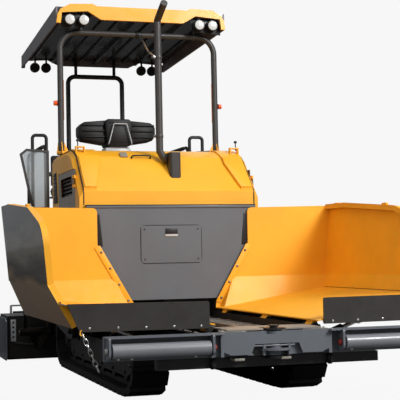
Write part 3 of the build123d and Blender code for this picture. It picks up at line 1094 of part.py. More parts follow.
# Wing cylinder: barrel on the chassis pin, rod to the wing's bracket
ram_angle = atan2(RAM_EYE[1] - RAM_BASE[1], RAM_EYE[0] - RAM_BASE[0])
ram_way = (cos(ram_angle), 0.0, sin(ram_angle))
ram_length = hypot(RAM_EYE[0] - RAM_BASE[0], RAM_EYE[1] - RAM_BASE[1])


def ram_point(way):
    """Point on the wing cylinder's axis, this far from its foot."""
    return (RAM_BASE[0] + ram_way[0] * way, WING_RAM_Y, RAM_BASE[1] + ram_way[2] * way)


with BuildPart() as barrel:
    bar(ram_point(0.0), ram_point(RAM_TUBE_LENGTH), RAM_TUBE_R)
    bar((RAM_BASE[0], WING_RAM_Y - 28.0, RAM_BASE[1]), (RAM_BASE[0], WING_RAM_Y + 28.0, RAM_BASE[1]),
        RAM_TUBE_R)
    bar((RAM_BASE[0], WING_RAM_Y - 40.0, RAM_BASE[1]), (RAM_BASE[0], WING_RAM_Y + 40.0, RAM_BASE[1]),
        RAM_PIN_R + BORE_PLAY, mode=Mode.SUBTRACT)
    bar(ram_point(60.0), ram_point(RAM_TUBE_LENGTH + 1.0), RAM_ROD_R + PLAY, mode=Mode.SUBTRACT)
write_pair(barrel.part, "wing_ram_barrel")

with BuildPart() as rod:
    bar(ram_point(100.0), ram_point(ram_length), RAM_ROD_R)
    bar((RAM_EYE[0], WING_RAM_Y - 16.0, RAM_EYE[1]), (RAM_EYE[0], WING_RAM_Y + 16.0, RAM_EYE[1]), 30.0)
    bar((RAM_EYE[0], WING_RAM_Y - 30.0, RAM_EYE[1]), (RAM_EYE[0], WING_RAM_Y + 30.0, RAM_EYE[1]),
        12.0 + RAM_EYE_PLAY, mode=Mode.SUBTRACT)
write_pair(rod.part, "wing_ram_rod")

# Push beam on its upright pivot, with brackets for the rollers and cover plates over them
BEAM_BACK = PUSH_PIVOT_Y + 25.0
BEAM_FACE = PUSH_PIVOT_Y - 25.0
with BuildPart() as beam:
    block((PUSH_HUB_R - 5.0, BEAM_HALF), (BEAM_FACE, BEAM_BACK), (BEAM_BOTTOM, BEAM_TOP))
    for x in (PUSH_ROLLER_INNER - 13.0 - PUSH_BRACKET, PUSH_ROLLER_OUTER + 13.0):
        shape = [(PUSH_ROLLER_Y - 40.0, PUSH_ROLLER_Z - 45.0), (BEAM_FACE + 1.0, BEAM_BOTTOM),
                 (BEAM_FACE + 1.0, BEAM_TOP),
                 (PUSH_ROLLER_Y - 40.0, BEAM_TOP)]
        extrude(outline(shape, along(x), rounds=((0, 35.0), (3, 20.0))), amount=PUSH_BRACKET)
    block((NOSE_HALF - 20.0, BEAM_HALF), (PUSH_ROLLER_Y - 20.0, BEAM_BACK), (BEAM_TOP - 10.0, BEAM_TOP))
    notch_half, notch_top = NOSE_NOTCH
    nose = [(0.0, notch_top), (notch_half, notch_top), (notch_half + 30.0, NOSE_BOTTOM),
            (NOSE_HALF - 80.0, NOSE_BOTTOM),
            (NOSE_HALF, NOSE_BOTTOM + 35.0), (NOSE_HALF, BEAM_TOP), (210.0, BEAM_TOP), (170.0,
                                                                                        BEAM_TOP - 22.0),
                                                                                        (0.0,
                                                                                         BEAM_TOP - 22.0)]
    extrude(outline(nose, across(PUSH_ROLLER_Y + 24.0)), amount=-24.0)
    block((NOSE_HALF - 24.0, NOSE_HALF), (PUSH_ROLLER_Y + 24.0, BEAM_FACE + 1.0), (BEAM_BOTTOM, BEAM_TOP))
    block((PUSH_HUB_R + 30.0, PUSH_HUB_R + 50.0), (PUSH_ROLLER_Y + 24.0, BEAM_FACE + 1.0),
          (BEAM_BOTTOM, BEAM_TOP - 95.0))
    mirror(about=Plane.YZ)
    bar((0.0, PUSH_PIVOT_Y, CROSS_TOP + 12.0), (0.0, PUSH_PIVOT_Y, BEAM_TOP), PUSH_HUB_R)
    disc_r, disc_low, disc_high = HITCH_DISC
    bar((0.0, PUSH_PIVOT_Y, disc_low), (0.0, PUSH_PIVOT_Y, disc_high), disc_r)
    behind = (PUSH_PIVOT_Y + PUSH_HUB_R, PUSH_PIVOT_Y + disc_r + 1.0)
    block((-disc_r, disc_r), behind, (disc_low - 1.0, disc_high + 1.0), mode=Mode.SUBTRACT)
    bar((0.0, PUSH_PIVOT_Y, CROSS_TOP), (0.0, PUSH_PIVOT_Y, BEAM_TOP + 5.0), PUSH_PIVOT_R + BORE_PLAY,
        mode=Mode.SUBTRACT)
    for side in (-1, 1):
        bar((side * (PUSH_ROLLER_INNER - 40.0), PUSH_ROLLER_Y, PUSH_ROLLER_Z),
            (side * (BEAM_HALF + 5.0), PUSH_ROLLER_Y, PUSH_ROLLER_Z),
            PUSH_AXLE_R + BORE_PLAY, mode=Mode.SUBTRACT)
write(beam.part, "push_beam")

# Push rollers that meet the truck's wheels
with BuildPart() as push_roller:
    bar((PUSH_ROLLER_INNER, PUSH_ROLLER_Y, PUSH_ROLLER_Z),
        (PUSH_ROLLER_OUTER, PUSH_ROLLER_Y, PUSH_ROLLER_Z), PUSH_ROLLER_R)
    bar((PUSH_ROLLER_INNER - 13.0 - PUSH_BRACKET, PUSH_ROLLER_Y, PUSH_ROLLER_Z),
        (PUSH_ROLLER_OUTER + 13.0 + PUSH_BRACKET, PUSH_ROLLER_Y, PUSH_ROLLER_Z), PUSH_AXLE_R)
write_pair(push_roller.part, "push_roller")

# Tow arms: from the tow point, up over the augers and down to the screed
ARM_IN = ARM_X - ARM_PLATE / 2
with BuildPart() as arms:
    arm_rear = SCREED_FRONT_Y + ARM_FOOT
    shape = [(TOW_Y - 70.0, TOW_Z - 70.0), (TOW_Y + 90.0, TOW_Z - 80.0), (TOW_Y + 1400.0, 560.0),
             (SCREED_FRONT_Y, 590.0),
             (SCREED_FRONT_Y, ARM_FOOT_Z), (arm_rear, ARM_FOOT_Z), (arm_rear,
                                                                    620.0), (SCREED_FRONT_Y + 100.0, 760.0),
             (TOW_Y + 1400.0, 720.0), (TOW_Y + 60.0, TOW_Z + 90.0), (TOW_Y - 70.0, TOW_Z + 70.0)]
    extrude(outline(shape, along(ARM_IN), rounds=((0, 60.0), (10, 60.0))), amount=ARM_PLATE)
    bar((ARM_IN - 5.0, TOW_Y, TOW_Z), (ARM_IN + ARM_PLATE + 5.0, TOW_Y, TOW_Z), TOW_PIN_R + BORE_PLAY,
        mode=Mode.SUBTRACT)
    # Ears on the arm's sides, with a pin for the lift cylinder's rod
    ear = [(LIFT_EYE[0] - 70.0, 660.0), (LIFT_EYE[0] + 70.0, 660.0),
           (LIFT_EYE[0] + 26.0, LIFT_EYE[1] + 26.0), (LIFT_EYE[0] - 26.0, LIFT_EYE[1] + 26.0)]
    for x in (ARM_IN - 8.0, ARM_IN + ARM_PLATE):
        extrude(outline(ear, along(x), rounds=((2, 24.0), (3, 24.0))), amount=8.0)
    bar((ARM_IN - 8.0, LIFT_EYE[0], LIFT_EYE[1]), (ARM_IN + ARM_PLATE + 8.0, LIFT_EYE[0], LIFT_EYE[1]),
        LIFT_PIN_R)
    mirror(about=Plane.YZ)
write(arms.part, "tow_arms")

# Screed: sole plate, heated box, top covers with vents
SCREED_REAR_Y = SCREED_FRONT_Y + SCREED_DEPTH
with BuildPart() as screed:
    block((-SCREED_HALF, SCREED_HALF), (SCREED_FRONT_Y, SCREED_REAR_Y), (SOLE, SCREED_TOP))
    block((-SCREED_HALF, SCREED_HALF), (SCREED_FRONT_Y + 30.0, SCREED_REAR_Y - 20.0), (0.0, SOLE + 1.0))
    arm_out = ARM_IN + ARM_PLATE
    inside = (SCREED_FRONT_Y + SCREED_WALL, SCREED_REAR_Y - SCREED_WALL)
    for low, high in ((SCREED_WALL - ARM_IN, ARM_IN - SCREED_WALL),
                      (arm_out + SCREED_WALL, SCREED_HALF - SCREED_WALL),
                      (SCREED_WALL - SCREED_HALF, -arm_out - SCREED_WALL)):
        block((low, high), inside, (SOLE + SCREED_WALL, SCREED_TOP - SCREED_WALL), mode=Mode.SUBTRACT)
    # Deflector plate that keeps the mix in front of the screed
    deflector = ARM_IN - 45.0
    block((-deflector, deflector), (SCREED_FRONT_Y, SCREED_FRONT_Y + PLATE),
          (SCREED_TOP - 1.0, DEFLECTOR_TOP))
    for side in (-1, 1):
        slot = sorted((side * ARM_IN, side * arm_out))
        block(slot, (SCREED_FRONT_Y - 1.0, SCREED_FRONT_Y + ARM_FOOT), (ARM_FOOT_Z, SCREED_TOP + 1.0),
              mode=Mode.SUBTRACT)
        # Guide bars that the end gate slides on
        for y in (SCREED_FRONT_Y + 130.0, SCREED_REAR_Y - 130.0):
            guide = sorted((side * (SCREED_HALF - 1.0), side * (GATE_X - PLAY)))
            block(guide, (y - 25.0, y + 25.0), (GUIDE_BOTTOM, GUIDE_TOP))
write(screed.part, "screed")

# Walkway behind the screed
with BuildPart() as walkway:
    block((-SCREED_HALF, SCREED_HALF), (SCREED_REAR_Y, WALKWAY_REAR_Y), (WALKWAY_Z - 30.0, WALKWAY_Z))
    for x in (-BODY_HALF, 0.0, BODY_HALF):
        bracket = [(SCREED_REAR_Y, 150.0), (WALKWAY_REAR_Y - 60.0, WALKWAY_Z - 30.0),
                   (SCREED_REAR_Y, WALKWAY_Z - 30.0)]
        extrude(outline(bracket, along(x - 8.0)), amount=16.0)
write(walkway.part, "screed_walkway")

# End gates: a plate beside the screed with a front flange, sliding up and down
with BuildPart() as gate:
    shape = [(SCREED_FRONT_Y - 100.0, 20.0), (SCREED_FRONT_Y - 60.0, 0.0), (SCREED_REAR_Y + 60.0, 0.0),
             (SCREED_REAR_Y + 100.0, 20.0),
             (SCREED_REAR_Y + 100.0, 300.0), (SCREED_REAR_Y, GATE_TOP), (SCREED_FRONT_Y,
                                                                         GATE_TOP),
                                                                         (SCREED_FRONT_Y - 100.0,
                                                                          GATE_TOP - 40.0)]
    extrude(outline(shape, along(GATE_X)), amount=GATE_PLATE)
    block((GATE_X, GATE_X + GATE_FLANGE), (SCREED_FRONT_Y - 12.0, SCREED_FRONT_Y), (90.0, GATE_TOP))
write_pair(gate.part, "end_gate")

# Lift cylinders between the rear body and the tow arms
lift_angle = atan2(LIFT_EYE[1] - LIFT_BASE[1], LIFT_EYE[0] - LIFT_BASE[0])
lift_length = hypot(LIFT_EYE[0] - LIFT_BASE[0], LIFT_EYE[1] - LIFT_BASE[1])


def lift_point(way):
    """Point on the lift cylinder's axis, this far from its top pin."""
    return (ARM_X, LIFT_BASE[0] + cos(lift_angle) * way, LIFT_BASE[1] + sin(lift_angle) * way)


with BuildPart() as lift_barrels:
    bar(lift_point(0.0), lift_point(LIFT_TUBE_LENGTH), LIFT_TUBE_R)
    bar((ARM_X - 22.0, LIFT_BASE[0], LIFT_BASE[1]), (ARM_X + 22.0, LIFT_BASE[0], LIFT_BASE[1]),
        LIFT_TUBE_R + 4.0)
    bar(lift_point(60.0), lift_point(LIFT_TUBE_LENGTH + 1.0), LIFT_ROD_R + PLAY, mode=Mode.SUBTRACT)
    bar((ARM_X - 40.0, LIFT_BASE[0], LIFT_BASE[1]), (ARM_X + 40.0, LIFT_BASE[0], LIFT_BASE[1]),
        RAM_PIN_R + BORE_PLAY, mode=Mode.SUBTRACT)
    mirror(about=Plane.YZ)
write(lift_barrels.part, "lift_barrels")

with BuildPart() as lift_rods:
    bar(lift_point(262.0), lift_point(lift_length), LIFT_ROD_R)
    bar((ARM_X - 14.0, LIFT_EYE[0], LIFT_EYE[1]), (ARM_X + 14.0, LIFT_EYE[0], LIFT_EYE[1]), 28.0)
    bar((ARM_X - 30.0, LIFT_EYE[0], LIFT_EYE[1]), (ARM_X + 30.0, LIFT_EYE[0], LIFT_EYE[1]),
        LIFT_PIN_R + RAM_EYE_PLAY, mode=Mode.SUBTRACT)
    mirror(about=Plane.YZ)
write(lift_rods.part, "lift_rods")
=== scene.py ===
"""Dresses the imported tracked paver: finishes for its solids, and the finer pieces around them.

All sizes are in metres in the part's own frame: the hopper faces -Y and the operator's left is +X.
"""

import logging
import math
from dataclasses import dataclass
from enum import Enum
from typing import Iterable, Optional, Sequence

import bpy
from mathutils import Matrix, Vector


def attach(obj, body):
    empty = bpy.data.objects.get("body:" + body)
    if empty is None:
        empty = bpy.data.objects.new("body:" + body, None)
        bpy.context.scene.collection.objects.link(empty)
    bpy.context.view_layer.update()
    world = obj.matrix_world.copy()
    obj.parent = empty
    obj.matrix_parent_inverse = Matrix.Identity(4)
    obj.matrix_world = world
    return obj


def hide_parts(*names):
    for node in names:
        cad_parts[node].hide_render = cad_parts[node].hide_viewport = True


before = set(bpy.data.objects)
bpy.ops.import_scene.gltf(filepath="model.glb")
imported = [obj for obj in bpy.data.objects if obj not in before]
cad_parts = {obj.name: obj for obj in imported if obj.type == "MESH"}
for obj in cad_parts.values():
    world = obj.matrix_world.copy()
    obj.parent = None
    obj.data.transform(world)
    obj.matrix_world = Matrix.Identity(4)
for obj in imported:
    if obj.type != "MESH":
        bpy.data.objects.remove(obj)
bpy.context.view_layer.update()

LOG = logging.getLogger("paver")
Point = tuple[float, float, float]
Spots = tuple[tuple[float, float], ...]
Line = tuple[Point, ...]
Colour = tuple[float, float, float, float]

SIDES = ((1, "left"), (-1, "right"))

# Gaps that keep a trim piece off the face that carries it
CLEAR = 0.0005
HAIR = 0.0004

# Edges sharper than this are rounded
EDGE_ANGLE = math.radians(30)

# Half waves in one unit of the wave texture
HALF_WAVES = 6.3


# Colour and node helpers


def srgb(code: str) -> Colour:
    """Turn an sRGB hex colour into linear RGBA.

    Args:
        code: six hex digits, with or without a leading #.

    Returns:
        Linear red, green, blue and an alpha of 1.
    """
    digits = code.lstrip("#")
    values = [int(digits[i:i + 2], 16) / 255 for i in (0, 2, 4)]
    linear = [v / 12.92 if v <= 0.04045 else ((v + 0.055) / 1.055) ** 2.4 for v in values]
    return (linear[0], linear[1], linear[2], 1.0)


def add_node(tree: bpy.types.NodeTree, kind: str, settings: Optional[dict] = None,
             links: Optional[dict] = None) -> bpy.types.Node:
    """Add a shader node with its settings and links.

    Args:
        tree: the material's or world's node tree.
        kind: the node's type name.
        settings: attribute names or input names (or numbers) and their values.
        links: input names (or numbers) and the output sockets that feed them.

    Returns:
        The new node.
    """
    node = tree.nodes.new(kind)
    for key, value in (settings or {}).items():
        if isinstance(key, str) and hasattr(node, key):
            setattr(node, key, value)
        else:
            node.inputs[key].default_value = value
    for key, socket in (links or {}).items():
        tree.links.new(socket, node.inputs[key])
    return node


def new_material(name: str) -> tuple[bpy.types.Material, bpy.types.NodeTree, bpy.types.Node,
                                     bpy.types.NodeSocket]:
    """Make an empty node material.

    Args:
        name: the finish's name.

    Returns:
        The material, its tree, its output node and the Object coordinate socket.
    """
    material = bpy.data.materials.new(name)
    material.use_nodes = True
    tree = material.node_tree
    tree.nodes.clear()
    output = add_node(tree, "ShaderNodeOutputMaterial")
    place = add_node(tree, "ShaderNodeTexCoord").outputs["Object"]
    return material, tree, output, place


def ramp(tree: bpy.types.NodeTree, source: bpy.types.NodeSocket,
         stops: Sequence[tuple[float, Colour]]) -> bpy.types.NodeSocket:
    """Turn a value into a colour through a ramp of stops.

    Args:
        tree: the node tree.
        source: the value between 0 and 1.
        stops: pairs of position and colour.

    Returns:
        The colour socket.
    """
    node = add_node(tree, "ShaderNodeValToRGB", links={0: source})
    band = node.color_ramp
    while len(band.elements) < len(stops):
        band.elements.new(0.5)
    for element, (position, colour) in zip(band.elements, stops):
        element.position = position
        element.color = colour
    return node.outputs["Color"]


def shaded(code: str, factor: float) -> Colour:
    """Make a hex colour darker or lighter.

    Args:
        code: the colour in sRGB hex.
        factor: what its linear parts are multiplied by.

    Returns:
        The linear colour, held below 1.
    """
    r, g, b, a = srgb(code)
    return (min(r * factor, 1.0), min(g * factor, 1.0), min(b * factor, 1.0), a)


# Finishes


@dataclass(frozen=True)
class SprayPaint:
    """Two-pack enamel sprayed on steel sheet.

    It reads as an even colour with fine orange peel, a clear gloss and some road dust low down.
    """

    name: str
    colour: str
    roughness: float = 0.42
    coat: float = 0.16
    peel_mm: float = 6.0
    peel_depth: float = 0.05
    mottle_mm: float = 420.0
    mottle: float = 0.06
    scuff_mm: float = 1000 / 9
    patch_mm: float = 200.0
    scuff: float = 0.14
    dust: float = 0.0
    dust_top: float = 0.9
    dust_tone: str = "#8A7C68"

    def build(self) -> bpy.types.Material:
        """Make the material.

        Returns:
            The paint.
        """
        material, tree, output, place = new_material(self.name)
        cloud = add_node(tree, "ShaderNodeTexNoise",
                         {"Scale": 1000 / self.mottle_mm, "Detail": 3.0, "Roughness": 0.55},
                         {"Vector": place})
        base = ramp(tree, cloud.outputs["Fac"],
                    [(0.3, shaded(self.colour, 1 - self.mottle)),
                     (0.7, shaded(self.colour, 1 + self.mottle))])
        if self.dust:
            base = self.dusted(tree, place, base)
        fine = add_node(tree, "ShaderNodeTexNoise", {"Scale": 1000 / self.peel_mm, "Detail": 1.0},
                        {"Vector": place})
        peel = add_node(tree, "ShaderNodeBump", {"Strength": self.peel_depth, "Distance": 0.0006},
                        {"Height": fine.outputs["Fac"]})
        scuff = add_node(tree, "ShaderNodeTexNoise",
                         {"Scale": 1000 / self.scuff_mm, "Detail": 5.0, "Roughness": 0.65},
                         {"Vector": place})
        rough = add_node(tree, "ShaderNodeMapRange",
                         {"From Min": 0.35, "From Max": 0.7, "To Min": self.roughness,
                          "To Max": self.roughness + self.scuff}, {"Value": scuff.outputs["Fac"]})
        shader = add_node(tree, "ShaderNodeBsdfPrincipled",
                          {"IOR": 1.5, "Coat Weight": self.coat, "Coat Roughness": 0.12},
                          {"Base Color": base, "Roughness": rough.outputs["Result"],
                           "Normal": peel.outputs["Normal"]})
        tree.links.new(shader.outputs[0], output.inputs[0])
        return material

    def dusted(self, tree: bpy.types.NodeTree, place: bpy.types.NodeSocket,
               base: bpy.types.NodeSocket) -> bpy.types.NodeSocket:
        """Lay road dust over the colour, thickest near the ground.

        Args:
            tree: the node tree.
            place: Object coordinates.
            base: the clean colour.

        Returns:
            The dusted colour.
        """
        height = add_node(tree, "ShaderNodeSeparateXYZ", links={0: place}).outputs["Z"]
        low = add_node(tree, "ShaderNodeMapRange",
                       {"From Min": 0.0, "From Max": self.dust_top, "To Min": 1.0, "To Max": 0.0},
                       {"Value": height})
        blotch = add_node(tree, "ShaderNodeTexNoise",
                          {"Scale": 1000 / self.patch_mm, "Detail": 6.0, "Roughness": 0.7},
                          {"Vector": place})
        patch = add_node(tree, "ShaderNodeMath", {"operation": "MULTIPLY"},
                         {0: low.outputs["Result"], 1: blotch.outputs["Fac"]})
        share = add_node(tree, "ShaderNodeMath", {"operation": "MULTIPLY", 1: self.dust},
                         {0: patch.outputs["Value"]})
        mix = add_node(tree, "ShaderNodeMix", {"data_type": "RGBA", 7: srgb(self.dust_tone)},
                       {0: share.outputs["Value"], 6: base})
        return mix.outputs[2]


@dataclass(frozen=True)
class WingPaint(SprayPaint):
    """The yellow enamel inside a hopper wing, with a dark gloss coat on its outer faces banded by a painted
    reflection, and dark lower faces that are painted shade.
    """

    # Height bands of the outer coat, brown and beige streaks over near black: a painted reflection of the
    # surroundings
    skin: tuple[tuple[float, str], ...] = ((0.0, "#8A6540"), (0.3, "#9A7A52"), (0.42, "#3B3026"),
                                           (0.62, "#7A705E"), (0.78, "#35302B"), (1.0, "#1D1A18"))
    reflection_band_span: tuple[float, float] = (0.62, 1.66)
    skin_roughness: float = 0.3
    ripple_mm: float = 1000 / 2.6

    def build(self) -> bpy.types.Material:
        """Make the two-coloured paint, with a painted reflection outside and painted shade underneath.

        Returns:
            The paint, yellow inside and dark outside.
        """
        material = super().build()
        tree = material.node_tree
        output = next(node for node in tree.nodes if node.type == "OUTPUT_MATERIAL")
        inside = output.inputs[0].links[0].from_socket
        coords = add_node(tree, "ShaderNodeTexCoord")
        facing = add_node(tree, "ShaderNodeSeparateXYZ", links={0: coords.outputs["Normal"]})
        place = add_node(tree, "ShaderNodeSeparateXYZ", links={0: coords.outputs["Object"]})
        outward = add_node(tree, "ShaderNodeMath", {"operation": "MULTIPLY"},
                           {0: facing.outputs["X"], 1: place.outputs["X"]})
        outside = add_node(tree, "ShaderNodeMath", {"operation": "GREATER_THAN", 1: 0.55},
                           {0: outward.outputs[0]})
        # Faces that look down take the dark coat as painted shade under the wing
        below = add_node(tree, "ShaderNodeMath", {"operation": "LESS_THAN", 1: -0.3},
                         {0: facing.outputs["Z"]})
        share = add_node(tree, "ShaderNodeMath", {"operation": "MAXIMUM"},
                         {0: outside.outputs[0], 1: below.outputs[0]})
        along = add_node(tree, "ShaderNodeMapping", {"Scale": (1.0, 0.4, 2.0)},
                         {"Vector": coords.outputs["Object"]})
        cloud = add_node(tree, "ShaderNodeTexNoise", {"Scale": 1000 / self.ripple_mm, "Detail": 3.0},
                         {"Vector": along.outputs[0]})
        ripple = add_node(tree, "ShaderNodeBump", {"Strength": 0.5, "Distance": 0.012},
                          {"Height": cloud.outputs["Fac"]})
        # The outer coat's tone runs through the painted reflection bands by height, wavered by the ripple
        # noise
        height = add_node(tree, "ShaderNodeMapRange",
                          {"From Min": self.reflection_band_span[0], "From Max": self.reflection_band_span[1]},
                          {"Value": place.outputs["Z"]})
        drift = add_node(tree, "ShaderNodeMath", {"operation": "MULTIPLY_ADD", 1: 0.5, 2: -0.25},
                         {0: cloud.outputs["Fac"]})
        level = add_node(tree, "ShaderNodeMath", {"operation": "ADD"},
                         {0: height.outputs["Result"], 1: drift.outputs[0]})
        reflection_tone = ramp(tree, level.outputs[0], [(spot, srgb(colour)) for spot, colour in self.skin])
        dark = add_node(tree, "ShaderNodeBsdfPrincipled",
                        {"Roughness": self.skin_roughness, "IOR": 1.45, "Coat Weight": 0.3,
                         "Coat Roughness": 0.08},
                        {"Base Color": reflection_tone, "Normal": ripple.outputs["Normal"]})
        mix = add_node(tree, "ShaderNodeMixShader",
                       links={0: share.outputs[0], 1: inside, 2: dark.outputs[0]})
        tree.links.new(mix.outputs[0], output.inputs[0])
        return material


@dataclass(frozen=True)
class WornSteel:
    """Bare steel rubbed bright by hot mix: brushed along one way, with brown stains in the hollows."""

    name: str
    colour: str
    stain: str = "#4A3A2C"
    stain_share: float = 0.4
    roughness: float = 0.38
    metallic: float = 1.0
    grain_mm: float = 3.0
    stretch: Point = (1.0, 18.0, 18.0)
    stain_mm: float = 1000 / 6

    def build(self) -> bpy.types.Material:
        """Make the material.

        Returns:
            The steel.
        """
        material, tree, output, place = new_material(self.name)
        run = add_node(tree, "ShaderNodeMapping", {"Scale": self.stretch}, {"Vector": place})
        grain = add_node(tree, "ShaderNodeTexNoise",
                         {"Scale": 1000 / self.grain_mm / self.stretch[1], "Detail": 4.0},
                         {"Vector": run.outputs[0]})
        blotch = add_node(tree, "ShaderNodeTexNoise",
                          {"Scale": 1000 / self.stain_mm, "Detail": 6.0, "Roughness": 0.7},
                          {"Vector": place})
        share = add_node(tree, "ShaderNodeMapRange",
                         {"From Min": 0.45, "From Max": 0.72, "To Min": 0.0, "To Max": self.stain_share},
                         {"Value": blotch.outputs["Fac"]})
        clean = ramp(tree, grain.outputs["Fac"],
                     [(0.3, shaded(self.colour, 0.85)), (0.7, shaded(self.colour, 1.12))])
        base = add_node(tree, "ShaderNodeMix", {"data_type": "RGBA", 7: srgb(self.stain)},
                        {0: share.outputs["Result"], 6: clean})
        bump = add_node(tree, "ShaderNodeBump", {"Strength": 0.12, "Distance": 0.0008},
                        {"Height": grain.outputs["Fac"]})
        rough = add_node(tree, "ShaderNodeMapRange",
                         {"From Min": 0.3, "From Max": 0.7, "To Min": self.roughness - 0.08,
                          "To Max": self.roughness + 0.16}, {"Value": blotch.outputs["Fac"]})
        shader = add_node(tree, "ShaderNodeBsdfPrincipled", {"Metallic": self.metallic},
                          {"Base Color": base.outputs[2], "Roughness": rough.outputs["Result"],
                           "Normal": bump.outputs["Normal"]})
        tree.links.new(shader.outputs[0], output.inputs[0])
        return material


@dataclass(frozen=True)
class Moulded:
    """Moulded plastic or rubber: one colour with a fine pebbled grain."""

    name: str
    colour: str
    roughness: float = 0.55
    grain_mm: float = 2.5
    grain_depth: float = 0.2
    cloud_mm: float = 250.0
    ior: float = 1.5

    def build(self) -> bpy.types.Material:
        """Make the material.

        Returns:
            The plastic.
        """
        material, tree, output, place = new_material(self.name)
        cells = add_node(tree, "ShaderNodeTexVoronoi", {"Scale": 1000 / self.grain_mm}, {"Vector": place})
        bump = add_node(tree, "ShaderNodeBump", {"Strength": self.grain_depth, "Distance": 0.0005},
                        {"Height": cells.outputs["Distance"]})
        cloud = add_node(tree, "ShaderNodeTexNoise", {"Scale": 1000 / self.cloud_mm, "Detail": 4.0},
                         {"Vector": place})
        base = ramp(tree, cloud.outputs["Fac"],
                    [(0.3, shaded(self.colour, 0.88)), (0.7, shaded(self.colour, 1.12))])
        rough = add_node(tree, "ShaderNodeMapRange",
                         {"To Min": self.roughness - 0.06, "To Max": self.roughness + 0.08},
                         {"Value": cloud.outputs["Fac"]})
        shader = add_node(tree, "ShaderNodeBsdfPrincipled", {"IOR": self.ior},
                          {"Base Color": base, "Roughness": rough.outputs["Result"],
                           "Normal": bump.outputs["Normal"]})
        tree.links.new(shader.outputs[0], output.inputs[0])
        return material


@dataclass(frozen=True)
class CastSteel:
    """Cast or forged track steel: dark, gritty and dusty, rubbed a little on the faces."""

    name: str
    colour: str
    dust: str = "#3C342B"
    roughness: float = 0.62
    grit_mm: float = 4.0
    dust_mm: float = 1000 / 7
    dust_share: float = 0.75
    metallic: float = 0.55

    def build(self) -> bpy.types.Material:
        """Make the material.

        Returns:
            The cast steel.
        """
        material, tree, output, place = new_material(self.name)
        grit = add_node(tree, "ShaderNodeTexNoise",
                        {"Scale": 1000 / self.grit_mm, "Detail": 4.0, "Roughness": 0.7},
                        {"Vector": place})
        blotch = add_node(tree, "ShaderNodeTexNoise",
                          {"Scale": 1000 / self.dust_mm, "Detail": 6.0, "Roughness": 0.7},
                          {"Vector": place})
        share = add_node(tree, "ShaderNodeMapRange",
                         {"From Min": 0.42, "From Max": 0.75, "To Min": 0.0, "To Max": self.dust_share},
                         {"Value": blotch.outputs["Fac"]})
        base = add_node(tree, "ShaderNodeMix",
                        {"data_type": "RGBA", 6: srgb(self.colour), 7: srgb(self.dust)},
                        {0: share.outputs["Result"]})
        bump = add_node(tree, "ShaderNodeBump", {"Strength": 0.35, "Distance": 0.001},
                        {"Height": grit.outputs["Fac"]})
        shader = add_node(tree, "ShaderNodeBsdfPrincipled",
                          {"Metallic": self.metallic, "Roughness": self.roughness},
                          {"Base Color": base.outputs[2], "Normal": bump.outputs["Normal"]})
        tree.links.new(shader.outputs[0], output.inputs[0])
        return material


@dataclass(frozen=True)
class ClearSheet:
    """Clear polycarbonate or display glass: see-through or blank, faintly tinted, hazed by fine wear."""

    name: str
    colour: str
    roughness: float = 0.04
    ior: float = 1.5
    clearness: float = 1.0
    haze_mm: float = 1000 / 14

    def build(self) -> bpy.types.Material:
        """Make the material.

        Returns:
            The clear material.
        """
        material, tree, output, place = new_material(self.name)
        haze = add_node(tree, "ShaderNodeTexNoise", {"Scale": 1000 / self.haze_mm, "Detail": 4.0},
                        {"Vector": place})
        rough = add_node(tree, "ShaderNodeMapRange",
                         {"From Min": 0.4, "From Max": 0.8, "To Min": self.roughness,
                          "To Max": self.roughness + 0.1}, {"Value": haze.outputs["Fac"]})
        shader = add_node(tree, "ShaderNodeBsdfPrincipled",
                          {"IOR": self.ior, "Transmission Weight": self.clearness,
                           "Base Color": srgb(self.colour)}, {"Roughness": rough.outputs["Result"]})
        tree.links.new(shader.outputs[0], output.inputs[0])
        return material


@dataclass(frozen=True)
class LampLens:
    """Ribbed lens over a bright reflector, with a faint emission that is a painted highlight of the
    reflector rather than a lit lamp.
    """

    name: str
    colour: str
    painted_glow: float = 0.5
    rib_mm: float = 9.0

    def build(self) -> bpy.types.Material:
        """Make the material.

        Returns:
            The lens.
        """
        material, tree, output, place = new_material(self.name)
        ribs = add_node(tree, "ShaderNodeTexWave",
                        {"Scale": 1000 / self.rib_mm / HALF_WAVES, "bands_direction": "X"},
                        {"Vector": place})
        bump = add_node(tree, "ShaderNodeBump", {"Strength": 0.3, "Distance": 0.001},
                        {"Height": ribs.outputs["Fac"]})
        tint = ramp(tree, ribs.outputs["Fac"],
                    [(0.2, shaded(self.colour, 0.9)), (0.8, shaded(self.colour, 1.05))])
        # The emission is a painted highlight of the reflector behind the lens
        shader = add_node(tree, "ShaderNodeBsdfPrincipled",
                          {"Roughness": 0.12, "Emission Strength": self.painted_glow,
                           "Emission Color": srgb(self.colour)},
                          {"Base Color": tint, "Normal": bump.outputs["Normal"]})
        tree.links.new(shader.outputs[0], output.inputs[0])
        return material


MACHINE_YELLOW = "#F9B01B"


